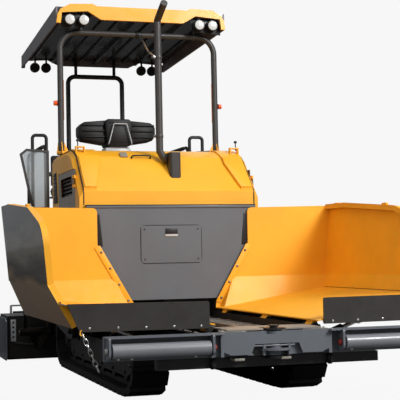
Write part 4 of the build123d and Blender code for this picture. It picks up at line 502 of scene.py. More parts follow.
class Finish(Enum):
    """The finishes on the machine, each made once."""

    # Sprayed enamel on sheet: a closed, even skin with soft highlights
    YELLOW = SprayPaint("machine_yellow_enamel", MACHINE_YELLOW)
    YELLOW_LOW = WingPaint("hopper_yellow_enamel", "#F9B01C", roughness=0.5, coat=0.05, dust=0.04)
    DOOR = SprayPaint("bronze_door_enamel", "#6E5A3E", roughness=0.32, coat=0.3)
    GREY = SprayPaint("basalt_grey_enamel", "#60656B", roughness=0.46, coat=0.12, dust=0.03)
    APRON = SprayPaint("apron_grey_enamel", "#2A2622", roughness=0.42, coat=0.2, mottle=0.12, dust=0.06)
    BLACK = SprayPaint("black_chassis_enamel", "#0B0A0A", roughness=0.46, coat=0.12, dust=0.05)
    TUBE = SprayPaint("anthracite_tube_enamel", "#3B3937", roughness=0.45, coat=0.15)
    # The roof's underside is near black as painted shade, glossy with mottled streaks
    UNDERSIDE = SprayPaint("canopy_underside_enamel", "#15110D", roughness=0.22, coat=0.6, mottle=0.25)
    SCREED = SprayPaint("screed_dark_enamel", "#171616", roughness=0.45, coat=0.15, dust=0.06)
    COVER = SprayPaint("dusty_cover_plate", "#8E877C", roughness=0.5, coat=0.1, mottle=0.15, dust=0.2)
    WIRE = SprayPaint("light_grey_enamel", "#C4C8CB", roughness=0.35, dust=0.0)
    ROLLER = SprayPaint("roller_grey_enamel", "#75777B", roughness=0.33, coat=0.3)
    STRIP = SprayPaint("strip_grey_enamel", "#5A5753", roughness=0.45, coat=0.15, dust=0.1)
    PIN = SprayPaint("red_marked_pin", "#8E2A22", roughness=0.5)

    # Bare or plated steel: the grain of rubbing runs one way, and stains dull it in places
    WORN = WornSteel("rubbed_steel", "#8F8C88")
    AUGER = WornSteel("auger_steel", "#2B2826", stain="#1C1612", stain_share=0.6, roughness=0.6)
    CHROME = WornSteel("chromed_rod", "#D4D6D8", stain_share=0.0, roughness=0.1, grain_mm=1.0)
    DULL_BOLT = WornSteel("dull_steel_bolt", "#7C7A76", stain_share=0.4, roughness=0.42)
    BOLT = WornSteel("zinc_plated_bolt", "#CFCFCB", stain_share=0.1, roughness=0.3)

    # Castings: dark and gritty, so that they give hardly a highlight
    TRACK = CastSteel("track_cast_steel", "#070707", dust="#14110E", metallic=0.15)
    IRON = CastSteel("engine_cast_iron", "#1E1D1C")

    # Moulded plastic, rubber and vinyl: a soft sheen broken by a pebbled grain
    CANOPY = Moulded("canopy_grey_grp", "#6E6A6F", roughness=0.5, grain_mm=5.0, grain_depth=0.08)
    CONSOLE = Moulded("console_abs", "#0C0B0B", roughness=0.5, ior=1.42)
    ORANGE_CABLE = Moulded("orange_cable_sleeve", "#B8681F", roughness=0.6)
    RUBBER = Moulded("black_rubber", "#121212", roughness=0.6)
    VINYL = Moulded("seat_vinyl", "#1D1C1B", roughness=0.5, grain_mm=3.0, grain_depth=0.35)

    # Glazing and lamps: clear, blank or ribbed
    PANE_BLACK = ClearSheet("blank_display_glass", "#0A0B0C", clearness=0.0)
    PANE = ClearSheet("smoked_polycarbonate", "#C6CDD0", roughness=0.08, clearness=0.7)
    # Lenses with a faint painted glow standing in for their reflectors' highlight
    LENS = LampLens("lamp_lens", "#C9C9C6", painted_glow=0.16)
    ORANGE = LampLens("marker_orange_lens", "#E8541C", painted_glow=0.15)

    def material(self) -> bpy.types.Material:
        """Return the finish's material, made at its first use."""
        return bpy.data.materials.get(self.value.name) or self.value.build()


# Modelling helpers


def clear_selection() -> None:
    """Leave edit mode and deselect everything."""
    if bpy.context.mode != "OBJECT":
        bpy.ops.object.mode_set(mode="OBJECT")
    bpy.ops.object.select_all(action="DESELECT")


def take(piece: bpy.types.Object) -> bpy.types.Object:
    """Select only this piece and make it active.

    Args:
        piece: the object.

    Returns:
        The same object.
    """
    clear_selection()
    piece.select_set(True)
    bpy.context.view_layer.objects.active = piece
    return piece


def settle(piece: bpy.types.Object, name: str) -> bpy.types.Object:
    """Name a new piece and put its place into its mesh.

    Args:
        piece: the new object.
        name: its name.

    Returns:
        The piece, with its object at the origin.
    """
    take(piece)
    bpy.ops.object.transform_apply(location=True, rotation=True, scale=True)
    piece.name = name
    piece.data.name = name
    return piece


def apply_modifier(piece: bpy.types.Object, kind: str, **settings: object) -> None:
    """Add a modifier with its settings and apply it.

    Args:
        piece: the object.
        kind: the modifier's type.
        **settings: its attributes.
    """
    take(piece)
    modifier = piece.modifiers.new(kind.title(), kind)
    for key, value in settings.items():
        setattr(modifier, key, value)
    bpy.ops.object.modifier_apply(modifier=modifier.name)


def smooth(piece: bpy.types.Object, degrees: float = 35.0) -> bpy.types.Object:
    """Shade a piece smooth, keeping edges sharper than an angle.

    Args:
        piece: the object.
        degrees: the angle.

    Returns:
        The same object.
    """
    take(piece)
    bpy.ops.object.shade_smooth_by_angle(angle=math.radians(degrees))
    return piece


def bevel(piece: bpy.types.Object, width: float, segments: int = 2) -> bpy.types.Object:
    """Round a piece's sharp edges and shade it.

    Args:
        piece: the object.
        width: how wide the rounding is; 0 leaves the edges.
        segments: how many facets stand for the rounding.

    Returns:
        The same object.
    """
    if width:
        apply_modifier(piece, "BEVEL", width=width, segments=segments, limit_method="ANGLE",
                       angle_limit=EDGE_ANGLE, harden_normals=False)
    return smooth(piece)


def slab(name: str, low: Point, high: Point, edge: float = 0.002) -> bpy.types.Object:
    """Make a block with rounded edges between two corners.

    Args:
        name: the piece's name.
        low: its lowest corner.
        high: its highest corner.
        edge: radius of its edges.

    Returns:
        The block.
    """
    clear_selection()
    middle = [(a + b) / 2 for a, b in zip(low, high)]
    size = [b - a for a, b in zip(low, high)]
    bpy.ops.mesh.primitive_cube_add(size=1.0, location=middle, scale=size)
    return bevel(settle(bpy.context.object, name), edge)


def disc(name: str, start: Point, end: Point, radius: float, edge: float = 0.001,
         sides: int = 32) -> bpy.types.Object:
    """Make a round bar from start to end.

    Args:
        name: the piece's name.
        start: centre of its first end.
        end: centre of its second end.
        radius: its radius.
        edge: radius of its edges.
        sides: how many flats stand for the round.

    Returns:
        The bar.
    """
    clear_selection()
    first, last = Vector(start), Vector(end)
    line = last - first
    turn = line.to_track_quat("Z", "Y").to_euler()
    bpy.ops.mesh.primitive_cone_add(vertices=sides, radius1=radius, radius2=radius, depth=line.length,
                                    location=(first + last) / 2, rotation=turn)
    return bevel(settle(bpy.context.object, name), edge)


def plate(name: str, points: Sequence[Point], push: Point, edge: float = 0.001) -> bpy.types.Object:
    """Make a flat plate with any outline, pushed out to its thickness.

    Args:
        name: the piece's name.
        points: corners of the outline, in one plane.
        push: the way and distance to the far face.
        edge: radius of its edges.

    Returns:
        The plate.
    """
    clear_selection()
    bpy.ops.mesh.primitive_circle_add(vertices=len(points), radius=1.0, fill_type="NGON")
    piece = bpy.context.object
    for vertex, point in zip(piece.data.vertices, points):
        vertex.co = point
    bpy.ops.object.mode_set(mode="EDIT")
    bpy.ops.mesh.select_all(action="SELECT")
    bpy.ops.mesh.extrude_region_move(TRANSFORM_OT_translate={"value": push})
    bpy.ops.mesh.select_all(action="SELECT")
    bpy.ops.mesh.normals_make_consistent(inside=False)
    bpy.ops.object.mode_set(mode="OBJECT")
    return bevel(settle(piece, name), edge)


def rod(name: str, points: Sequence[Point], radius: float, rounding: int = 3,
        closed: bool = False) -> bpy.types.Object:
    """Make a bent round rod along a smooth line near the points.

    Args:
        name: the piece's name.
        points: control points of the line.
        radius: the rod's radius.
        rounding: order of the line; 2 keeps straight runs.
        closed: whether the line joins its ends.

    Returns:
        The rod as a mesh.
    """
    clear_selection()
    curve = bpy.data.curves.new(name, "CURVE")
    curve.dimensions = "3D"
    curve.bevel_depth = radius
    curve.bevel_resolution = 4
    curve.resolution_u = 6
    curve.use_fill_caps = True
    line = curve.splines.new("NURBS")
    line.points.add(len(points) - 1)
    for spot, point in zip(line.points, points):
        spot.co = (*point, 1.0)
    line.order_u = rounding
    line.use_endpoint_u = not closed
    line.use_cyclic_u = closed
    piece = bpy.data.objects.new(name, curve)
    bpy.context.scene.collection.objects.link(piece)
    take(piece)
    bpy.ops.object.convert(target="MESH")
    return smooth(settle(bpy.context.object, name))


def moved(piece: bpy.types.Object, name: str, step: Point) -> bpy.types.Object:
    """Copy a piece by a step.

    Args:
        piece: the finished piece.
        name: the copy's name.
        step: how far the copy stands from it.

    Returns:
        The copy, with its own mesh.
    """
    copy = piece.copy()
    copy.data = piece.data.copy()
    bpy.context.scene.collection.objects.link(copy)
    copy.parent = None
    copy.matrix_world = Matrix.Translation(Vector(step))
    return settle(copy, name)


def joined(pieces: Iterable[bpy.types.Object], name: str) -> bpy.types.Object:
    """Join pieces of one finish into one object.

    Args:
        pieces: the pieces.
        name: the joined object's name.

    Returns:
        The joined object.
    """
    pieces = list(pieces)
    take(pieces[0])
    for piece in pieces[1:]:
        piece.select_set(True)
    if len(pieces) > 1:
        bpy.ops.object.join()
    return settle(bpy.context.object, name)


def dress(piece: bpy.types.Object, finish: Finish, body: str, *stands_for: str) -> bpy.types.Object:
    """Give a piece its finish and put it on a body.

    Args:
        piece: the finished piece.
        finish: its finish.
        body: the body that it moves with.
        *stands_for: the solids that it replaces.

    Returns:
        The piece.
    """
    piece.data.materials.clear()
    piece.data.materials.append(finish.material())
    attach(piece, body)
    if stands_for:
        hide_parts(*stands_for)
    LOG.info("%s rides on %s", piece.name, body)
    return piece


# Finishes of the solids that stay as they are

NODE_FINISH = {
    Finish.YELLOW: ("hood", "hood_cheeks", "platform", "canopy_front_fascia"),
    Finish.DOOR: ("service_door_left", "service_door_right"),
    Finish.YELLOW_LOW: ("hopper_wing_left", "hopper_wing_right"),
    Finish.GREY: ("bulkhead", "hatch_cover", "push_beam", "end_gate_left", "end_gate_right"),
    # The tow arms take the near-black screed enamel as painted shade under the wings
    Finish.SCREED: ("screed", "screed_walkway", "tow_arms"),
    Finish.APRON: ("apron_left", "apron_right", "exhaust_stack"),
    # The wing rams' barrels take the black enamel as painted shade under the wings
    Finish.BLACK: ("frame_rails", "track_beams", "cross_members", "front_crossbeam", "engine_floor",
                   "track_frames", "auger_frame", "wing_ram_barrel_left", "wing_ram_barrel_right",
                   "lift_barrels", "canopy_rear_arch", "handrails", "work_lamps"),
    Finish.RUBBER: ("conveyor_seals",),
    Finish.WIRE: ("console_guard",),
    Finish.COVER: ("conveyor_cover",),
    Finish.TUBE: ("canopy_front_frame", "exhaust_pipe", "screen_frames"),
    Finish.CANOPY: ("canopy_side_fascias", "canopy_rear_fascia"),
    # The roof takes the underside's painted-shade finish
    Finish.UNDERSIDE: ("canopy_roof",),
    Finish.WORN: ("conveyor",),
    Finish.ROLLER: ("push_roller_left", "push_roller_right"),
    Finish.AUGER: ("auger_left", "auger_right"),
    Finish.TRACK: ("track_left", "track_right", "track_wheels"),
    Finish.IRON: ("engine_block",),
    Finish.CHROME: ("wing_ram_rod_left", "wing_ram_rod_right", "lift_rods"),
    Finish.ORANGE: ("marker_lamps",),
    Finish.PANE: ("screen_panes",),
}


def finish_solids() -> None:
    """Give every solid that stays as it is its finish."""
    for finish, names in NODE_FINISH.items():
        for name in names:
            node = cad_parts[name]
            node.data.materials.clear()
            node.data.materials.append(finish.material())
            LOG.info("%s is finished in %s", name, finish.name)


# Studio


@dataclass(frozen=True)
class Studio:
    """Pale floor, plain world, soft lamps and the camera where the photographer stood."""

    camera_place: Point = (-3.039, -10.447, 1.169)
    yaw: float = 0.279
    pitch: float = 0.057
    roll: float = -0.018
    lens: float = 95.62
    shift_x: float = 0.12
    shift_y: float = -0.0134
    background: str = "#F7F7F7"
    sky: str = "#F3F6FA"
    ambient: float = 0.30
    floor_tone: str = "#6A6A6A"
    floor_glow: float = 1.15
    floor_share: float = 0.86
    floor_size: float = 120.0
    floor_z: float = -0.002
    lamps: tuple[tuple[str, Point, Point, float, float], ...] = (
        ("key_lamp", (6.0, -11.0, 8.0), (0.0, -0.5, 1.2), 4.0, 1560.0),
        ("fill_lamp", (-8.0, -6.0, 5.0), (0.0, 0.0, 1.2), 6.0, 90.0),
        ("top_lamp", (0.0, -4.0, 9.5), (0.0, -1.0, 0.0), 7.0, 240.0),
        ("back_lamp", (2.0, 9.0, 8.0), (0.0, 0.0, 1.5), 6.0, 160.0),
    )

    def seen_directly(self, tree: bpy.types.NodeTree) -> bpy.types.NodeSocket:
        """Give a value of 1 for camera and transmission rays.

        Args:
            tree: the node tree.

        Returns:
            The value's socket.
        """
        path = add_node(tree, "ShaderNodeLightPath")
        straight = add_node(tree, "ShaderNodeMath", {"operation": "MAXIMUM"},
                            {0: path.outputs["Is Camera Ray"], 1: path.outputs["Is Transmission Ray"]})
        return straight.outputs[0]

    def build_world(self) -> None:
        """Light the world evenly and show it as the photograph's plain background."""
        world = bpy.data.worlds.new("studio_world")
        world.use_nodes = True
        bpy.context.scene.world = world
        tree = world.node_tree
        tree.nodes.clear()
        shown = add_node(tree, "ShaderNodeBackground", {"Color": srgb(self.background), "Strength": 1.0})
        lit = add_node(tree, "ShaderNodeBackground", {"Color": srgb(self.sky), "Strength": self.ambient})
        mix = add_node(tree, "ShaderNodeMixShader",
                       links={0: self.seen_directly(tree), 1: lit.outputs[0], 2: shown.outputs[0]})
        add_node(tree, "ShaderNodeOutputWorld", links={0: mix.outputs[0]})

    def build_floor(self) -> None:
        """Lay a wide pale floor that keeps the machine's shadow."""
        clear_selection()
        bpy.ops.mesh.primitive_plane_add(size=self.floor_size, location=(0, 0, self.floor_z))
        floor = settle(bpy.context.object, "studio_floor")
        material, tree, output, _ = new_material("pale_floor")
        matt = add_node(tree, "ShaderNodeBsdfDiffuse", {"Color": srgb(self.floor_tone)})
        plain = add_node(tree, "ShaderNodeEmission",
                         {"Color": srgb(self.background), "Strength": self.floor_glow})
        share = add_node(tree, "ShaderNodeMath", {"operation": "MULTIPLY", 1: self.floor_share},
                         {0: self.seen_directly(tree)})
        mix = add_node(tree, "ShaderNodeMixShader",
                       links={0: share.outputs[0], 1: matt.outputs[0], 2: plain.outputs[0]})
        tree.links.new(mix.outputs[0], output.inputs[0])
        floor.data.materials.append(material)

    def build_lamp(self, name: str, place: Point, aim: Point, size: float, power: float) -> None:
        """Hang one soft lamp.

        Args:
            name: the lamp's name.
            place: where it hangs.
            aim: the point it lights.
            size: its side length.
            power: its power in watts.
        """
        light = bpy.data.lights.new(name, "AREA")
        light.size = size
        light.energy = power
        lamp = bpy.data.objects.new(name, light)
        lamp.location = place
        lamp.rotation_euler = (Vector(aim) - Vector(place)).to_track_quat("-Z", "Y").to_euler()
        bpy.context.scene.collection.objects.link(lamp)

    def build_camera(self) -> None:
        """Stand the camera where the photograph was taken."""
        data = bpy.data.cameras.new("camera")
        data.lens = self.lens
        data.shift_x = self.shift_x
        data.shift_y = self.shift_y
        data.clip_end = 400.0
        camera = bpy.data.objects.new("camera", data)
        forward = Vector((math.sin(self.yaw) * math.cos(self.pitch),
                          math.cos(self.yaw) * math.cos(self.pitch), math.sin(self.pitch)))
        level = Vector((math.cos(self.yaw), -math.sin(self.yaw), 0.0))
        upright = level.cross(forward)
        right = level * math.cos(self.roll) + upright * math.sin(self.roll)
        up = upright * math.cos(self.roll) - level * math.sin(self.roll)
        turn = Matrix((right, up, -forward)).transposed()
        camera.matrix_world = Matrix.Translation(self.camera_place) @ turn.to_4x4()
        bpy.context.scene.collection.objects.link(camera)
        bpy.context.scene.camera = camera

    def build(self) -> None:
        """Build the whole studio."""
        self.build_camera()
        self.build_world()
        self.build_floor()
        for name, place, aim, size, power in self.lamps:
            self.build_lamp(name, place, aim, size, power)
        bpy.context.scene.view_settings.view_transform = "Standard"


# Fine pieces

# A washer's thickness, and its radius as a multiple of the head's
WASHER_THICK = 0.003
WASHER_SPREAD = 1.35


def bolt_head(name: str, place: Point, way: Point, across: float = 0.011,
              height: float = 0.008) -> bpy.types.Object:
    """Make one hexagon bolt head with its washer, standing on a face.

    Args:
        name: the piece's name.
        place: centre of the washer's foot.
        way: unit vector out of the face.
        across: radius over the corners.
        height: height of the head.

    Returns:
        The head and washer as one piece.
    """
    foot, out = Vector(place), Vector(way)
    seat = tuple(foot + out * WASHER_THICK)
    washer = disc(name + "_washer", tuple(foot), seat, across * WASHER_SPREAD, edge=0.0006, sides=20)
    head = disc(name, seat, tuple(foot + out * (WASHER_THICK + height)), across, edge=0.0012, sides=6)
    return joined([head, washer], name)


def bolt_row(name: str, places: Sequence[Point], way: Point, body: str, across: float = 0.011,
             finish: Finish = Finish.BOLT) -> bpy.types.Object:
    """Model one bolt head and copy it to every place.

    Args:
        name: the joined piece's name.
        places: centres of the washers' feet.
        way: unit vector out of the face.
        body: the body that carries the bolts.
        across: radius over a head's corners.
        finish: their finish.

    Returns:
        The row as one object.
    """
    first = bolt_head(name + "_first", places[0], way, across)
    heads = [first]
    for index, place in enumerate(places[1:]):
        step = tuple(b - a for a, b in zip(places[0], place))
        heads.append(moved(first, f"{name}_{index}", step))
    return dress(joined(heads, name), finish, body)


@dataclass(frozen=True)
class HoodTrim:
    """Seams, lifting brackets, cheek pads, grilles, post gussets, handle and louvres of the hood."""

    half: float = 0.914
    front: float = -0.504
    band: tuple[float, float] = (1.651, 1.795)
    shoulder: tuple[float, float] = (-0.174, 2.160)
    seam_radius: float = 0.006
    seam_inset: float = 0.0435
    seam_line: Spots = ((-0.5035, 1.663), (-0.5035, 1.796), (-0.1735, 2.161), (-0.0985, 2.196),
                        (-0.0145, 2.226), (0.086, 2.2445), (0.52, 2.2445))
    seal_half: float = 0.862
    seal_front: float = -0.567
    seal_high: float = 0.009
    bracket_x: float = 0.815
    bracket_y: float = -0.125
    bracket_deep: float = 0.045
    bracket_outline: Spots = ((-0.050, 2.176), (-0.048, 2.268), (0.048, 2.268), (0.050, 2.176),
                              (0.036, 2.176), (0.035, 2.254), (-0.035, 2.254), (-0.036, 2.176))
    pin_step: float = 0.022
    pin_y: float = -0.10
    stem_span: tuple[float, float] = (2.240, 2.325)
    knob_span: tuple[float, float] = (2.316, 2.340)
    pad_plan: Spots = ((0.740, 0.07), (0.651, 0.76), (0.648, 0.97), (0.856, 0.97), (0.856, 0.07))
    pad_base: float = 0.0144
    pad_thick: float = 0.014
    grille: tuple[float, float, float, float] = (0.575, 0.790, 1.735, 2.060)
    grille_slant: float = 0.06
    grille_bars: int = 8
    post: tuple[float, float] = (0.866, 0.6)
    post_half: float = 0.033
    post_foot: float = 2.254
    collar_top: float = 2.286
    fin_reach: float = 0.05
    fin_short: float = 0.016
    fin_toe: float = 0.02
    fin_high: float = 0.13
    fin_thick: float = 0.008
    grip_line: Line = ((-0.31, -0.185, 2.140), (-0.31, -0.215, 2.160), (-0.295, -0.215, 2.170),
                       (-0.13, -0.215, 2.170), (-0.115, -0.215, 2.160), (-0.115, -0.185, 2.140))
    latch_outline: Line = ((-0.42, -0.185, 2.152), (-0.345, -0.185, 2.152), (-0.345, -0.125, 2.200),
                           (-0.42, -0.125, 2.200))
    louvre_y: float = -0.214
    louvre_run: float = 0.66
    vents: tuple[float, ...] = (1.238, 1.555, 1.872)
    vent_half: float = 0.095
    slats: int = 5
    lock_place: tuple[float, float] = (0.47, 1.40)
    pull_low: tuple[float, float] = (0.455, 1.43)
    pull_high: tuple[float, float] = (0.485, 1.53)

    def seams(self) -> None:
        """Lay the rubber seams along the hood's corners and under its band."""
        for side, word in SIDES:
            x = side * (self.half - self.seam_inset)
            line = [(x, *spot) for spot in self.seam_line]
            dress(rod(f"hood_seam_{word}", line, self.seam_radius, rounding=2), Finish.RUBBER, "tractor")
        foot = self.band[0]
        seal = slab("hood_foot_seal", (-self.seal_half, self.seal_front, foot + CLEAR),
                    (self.seal_half, self.front - CLEAR, foot + self.seal_high), edge=0.003)
        dress(seal, Finish.RUBBER, "tractor")

    def lifting_points(self) -> None:
        """Stand an angle bracket with a knobbed latch pin on each front corner of the hood's top."""
        for side, word in SIDES:
            x = side * self.bracket_x
            outline = [(x + dx, self.bracket_y, z) for dx, z in self.bracket_outline]
            bracket = plate(f"hood_bracket_{word}", outline, (0.0, self.bracket_deep, 0.0), edge=0.002)
            dress(bracket, Finish.YELLOW, "tractor")
            x += side * self.pin_step
            foot, top = ((x, self.pin_y, z) for z in self.stem_span)
            stem = disc(f"latch_stem_{word}", foot, top, 0.0055, edge=0.0008, sides=16)
            foot, top = ((x, self.pin_y, z) for z in self.knob_span)
            knob = disc(f"latch_knob_{word}", foot, top, 0.016, edge=0.006, sides=24)
            dress(joined([stem, knob], f"latch_pin_{word}"), Finish.BLACK, "tractor")

    def pads(self) -> None:
        """Raise a thick chamfered pad on each cheek's slope."""
        (front_y, front_z), (rear_y, rear_z) = (self.front, self.band[1]), self.shoulder
        run = Vector((0.0, rear_y - front_y, rear_z - front_z))
        normal = Vector((0.0, -run.z, run.y)).normalized()
        for side, word in SIDES:
            points = [tuple(Vector((side * x, front_y, front_z)) + run * share + normal * self.pad_base)
                      for x, share in self.pad_plan]
            pad = plate(f"cheek_pad_{word}", points, tuple(normal * self.pad_thick), edge=0.004)
            dress(pad, Finish.YELLOW, "tractor")

    def side_grilles(self) -> None:
        """Screw a framed grille with a slanted front end on each side of the hood behind the door."""
        front, rear, low, high = self.grille
        for side, word in SIDES:
            x = side * (self.half + HAIR)
            points = [(x, front, low), (x, rear, low), (x, rear, high),
                      (x, front + self.grille_slant, high)]
            pieces = [plate(f"side_grille_plate_{word}", points, (side * 0.004, 0.0, 0.0), edge=0.001)]
            for index in range(self.grille_bars):
                z = low + (high - low) * (index + 0.5) / self.grille_bars
                start = front + 0.01 + self.grille_slant * (z - low) / (high - low)
                pieces.append(slab(f"side_grille_bar_{word}_{index}",
                                   (min(x, x + side * 0.010), start, z - 0.008),
                                   (max(x, x + side * 0.010), rear - 0.01, z + 0.004), edge=0.002))
            dress(joined(pieces, f"side_grille_{word}"), Finish.BLACK, "tractor")

    def post_feet(self) -> None:
        """Set four tapered gussets and a collar round the foot of each front post of the canopy."""
        post_x, y = self.post
        for side, word in SIDES:
            x = side * post_x
            fins = []
            for index, (dx, dy) in enumerate(((1, 0), (-1, 0), (0, 1), (0, -1))):
                near = Vector((x + dx * self.post_half, y + dy * self.post_half, self.post_foot))
                reach = self.fin_short if side * dx > 0 else self.fin_reach
                far = near + Vector((dx * reach, dy * reach, 0.0))
                corners = (near, far, far + Vector((0, 0, self.fin_toe)),
                           near + Vector((0, 0, self.fin_high)))
                across = Vector((dy, dx, 0.0)) * self.fin_thick
                points = [tuple(corner - across / 2) for corner in corners]
                fins.append(plate(f"post_fin_{word}_{index}", points, tuple(across), edge=0.0015))
            dress(joined(fins, f"post_gusset_{word}"), Finish.YELLOW, "tractor")
            collar = disc(f"post_collar_{word}", (x, y, self.post_foot), (x, y, self.collar_top), 0.040,
                          edge=0.003)
            dress(collar, Finish.YELLOW, "tractor")

    def handle(self) -> None:
        """Fit the grab handle and the tan latch plate near the top of the slope."""
        dress(rod("hood_handle", self.grip_line, 0.008), Finish.BLACK, "tractor")
        latch = plate("hood_latch_plate", self.latch_outline, (0.0, -0.008, 0.010), edge=0.003)
        dress(latch, Finish.COVER, "tractor")

    def louvres(self) -> None:
        """Fill each vent of the side doors with slanted black slats, and fit the door's lock and pull."""
        step = 2 * self.vent_half / self.slats
        for side, word in SIDES:
            x = side * (self.half - 0.014)
            pieces = []
            for row, middle in enumerate(self.vents):
                for index in range(self.slats):
                    z = middle - self.vent_half + step * (index + 0.5)
                    points = [(x, self.louvre_y, z - 0.016), (x - side * 0.018, self.louvre_y, z + 0.014),
                              (x - side * 0.021, self.louvre_y, z + 0.014),
                              (x - side * 0.003, self.louvre_y, z - 0.016)]
                    pieces.append(plate(f"louvre_{word}_{row}_{index}", points,
                                        (0.0, self.louvre_run, 0.0), edge=0.0006))
            body = f"service_door_{word}"
            dress(joined(pieces, f"door_louvres_{word}"), Finish.BLACK, body)
            skin = side * (self.half + CLEAR)
            lock = disc(f"door_lock_{word}", (skin, *self.lock_place),
                        (side * (self.half + 0.009), *self.lock_place), 0.022, edge=0.003, sides=28)
            x = side * (self.half + 0.005)
            pull = slab(f"door_pull_{word}", (x - 0.006, *self.pull_low), (x + 0.006, *self.pull_high),
                        edge=0.005)
            dress(joined([lock, pull], f"door_latch_{word}"), Finish.BLACK, body)

    def build(self) -> None:
        """Build the hood's trim."""
        self.seams()
        self.lifting_points()
        self.pads()
        self.side_grilles()
        self.post_feet()
        self.handle()
        self.louvres()


@dataclass(frozen=True)
class CanopyTrim:
    """Lamp trays, lenses and housings, underside seams, marker feet and post cables of the canopy."""

    front_y: float = 0.401
    lamps: tuple[float, float] = (0.642, 0.793)
    lamp_z: float = 3.662
    rear_lamps: tuple[float, float] = (0.625, 0.767)
    rear_z: float = 3.563
    rear_y: float = 2.781
    lamp_r: float = 0.058
    lens_deep: float = 0.012
    fin_count: int = 3
    fin_pitch: float = 0.010
    tray_y: float = 0.4725
    tray_outline: Spots = ((0.54, 3.755), (0.60, 3.600), (0.905, 3.570), (0.905, 3.742))
    roof_z: float = 3.770
    roof_drop: float = 0.100 / 2.380
    roof_seams: tuple[float, ...] = (-0.80, -0.36, -0.18, 0.18, 0.36, 0.80)
    seam_section: Spots = ((0.47, 0.0025), (2.70, 0.0025), (2.70, 0.024), (0.47, 0.024))
    seam_half: float = 0.013
    post: tuple[float, float] = (0.866, 0.6)
    post_half: float = 0.033
    marker_z: float = 2.8
    cable_heights: tuple[float, ...] = (2.62, 2.80, 3.05)

    def lamp_face(self, name: str, x: float, y: float, z: float, way: int) -> None:
        """Put a lens, a bezel ring and cooling fins on one lamp.

        Args:
            name: the lamp's name.
            x: its middle.
            y: its face.
            z: its middle's height.
            way: -1 when it shines ahead and 1 when it shines back.
        """
        lens = disc(name + "_lens", (x, y, z), (x, y + way * self.lens_deep, z), self.lamp_r - 0.007,
                    edge=0.005, sides=36)
        dress(lens, Finish.LENS, "tractor")
        clear_selection()
        bpy.ops.mesh.primitive_torus_add(location=(x, y, z), rotation=(math.pi / 2, 0, 0),
                                         major_radius=self.lamp_r - 0.004, minor_radius=0.006,
                                         major_segments=36, minor_segments=8)
        bezel = smooth(settle(bpy.context.object, name + "_bezel"))
        fins = [disc(f"{name}_fin_{index}", (x, y - way * (0.016 + self.fin_pitch * index), z),
                     (x, y - way * (0.020 + self.fin_pitch * index), z), self.lamp_r + 0.004, edge=0.0008,
                     sides=36)
                for index in range(self.fin_count)]
        dress(joined([bezel, *fins], name + "_housing"), Finish.BLACK, "tractor")

    def recesses(self) -> None:
        """Hang a black tray behind each pair of front lamps."""
        for side, word in SIDES:
            points = [(side * x, self.tray_y, z) for x, z in self.tray_outline]
            dress(plate(f"lamp_tray_{word}", points, (0.0, 0.006, 0.0), edge=0.002), Finish.BLACK,
                  "tractor")

    def underside(self) -> None:
        """Lay pressed seams along the underside between its ribs."""
        strips = []
        for index, x in enumerate(self.roof_seams):
            points = [(x - self.seam_half, y, self.roof_z - self.roof_drop * (y - self.front_y) - depth)
                      for y, depth in self.seam_section]
            strips.append(plate(f"roof_seam_{index}", points, (2 * self.seam_half, 0.0, 0.0), edge=0.004))
        # The seams share the underside's painted-shade finish
        dress(joined(strips, "roof_seams"), Finish.UNDERSIDE, "tractor")

    def markers(self) -> None:
        """Give each side marker its black foot and run a cable strip down each post."""
        post_x, y = self.post
        for side, word in SIDES:
            foot = disc(f"marker_foot_{word}", (side * 0.8985, y, self.marker_z),
                        (side * 0.906, y, self.marker_z), 0.030, edge=0.002, sides=28)
            dress(foot, Finish.BLACK, "tractor")
            x = side * (post_x - self.post_half)
            cable = rod(f"post_cable_{word}", [(x, y, z) for z in self.cable_heights], 0.0045, rounding=2)
            dress(cable, Finish.ORANGE_CABLE, "tractor")

    def build(self) -> None:
        """Build the canopy's trim."""
        for side, word in SIDES:
            for index, (front_x, rear_x) in enumerate(zip(self.lamps, self.rear_lamps)):
                self.lamp_face(f"front_lamp_{word}_{index}", side * front_x, self.front_y + 0.0035,
                               self.lamp_z, -1)
                self.lamp_face(f"rear_lamp_{word}_{index}", side * rear_x, self.rear_y - 0.0035,
                               self.rear_z, 1)
        self.recesses()
        self.underside()
        self.markers()


@dataclass(frozen=True)
class ExhaustTrim:
    """Clamps of the exhaust pipe, its stay to the canopy's hoop, and the ring where it enters the stack."""

    x: float = -0.032
    y: float = -0.260
    radius: float = 0.036
    clamps: tuple[float, ...] = (2.36, 3.16)
    clamp_half: float = 0.016
    stay_radius: float = 0.010
    stay_line: Line = ((0.0, 0.572, 3.560), (-0.01, 0.45, 3.50), (-0.045, 0.12, 3.33),
                       (-0.055, 0.02, 3.27), (-0.075, -0.20, 3.20), (-0.062, -0.26, 3.165))
    hoop: tuple[float, float] = (0.6, 3.567)
    hoop_clamp_half: float = 0.035
    nut_place: Point = (-0.070, -0.269, 3.16)
    ring_span: tuple[float, float] = (0.018, 0.034)
    ring_z: float = 2.135

    def build(self) -> None:
        """Build the exhaust's trim."""
        for index, z in enumerate(self.clamps):
            band = disc(f"pipe_clamp_{index}", (self.x, self.y, z - self.clamp_half),
                        (self.x, self.y, z + self.clamp_half), self.radius + 0.004, edge=0.002)
            ear = slab(f"pipe_clamp_ear_{index}", (self.x - 0.070, self.y - 0.009, z - 0.013),
                       (self.x - 0.034, self.y + 0.009, z + 0.013), edge=0.002)
            dress(joined([band, ear], f"pipe_clamp_{index}"), Finish.TUBE, "tractor")
        dress(rod("pipe_stay", self.stay_line, self.stay_radius), Finish.BOLT, "tractor")
        clamp = disc("stay_clamp", (-self.hoop_clamp_half, *self.hoop),
                     (self.hoop_clamp_half, *self.hoop), 0.038, edge=0.003, sides=28)
        dress(clamp, Finish.BLACK, "tractor")
        nut = bolt_head("stay_nut", self.nut_place, (0.0, -1.0, 0.0), 0.012)
        dress(nut, Finish.BOLT, "tractor")
        start, end = ((x, self.y, self.ring_z) for x in self.ring_span)
        dress(disc("stack_ring", start, end, 0.046, edge=0.003), Finish.TUBE, "tractor")


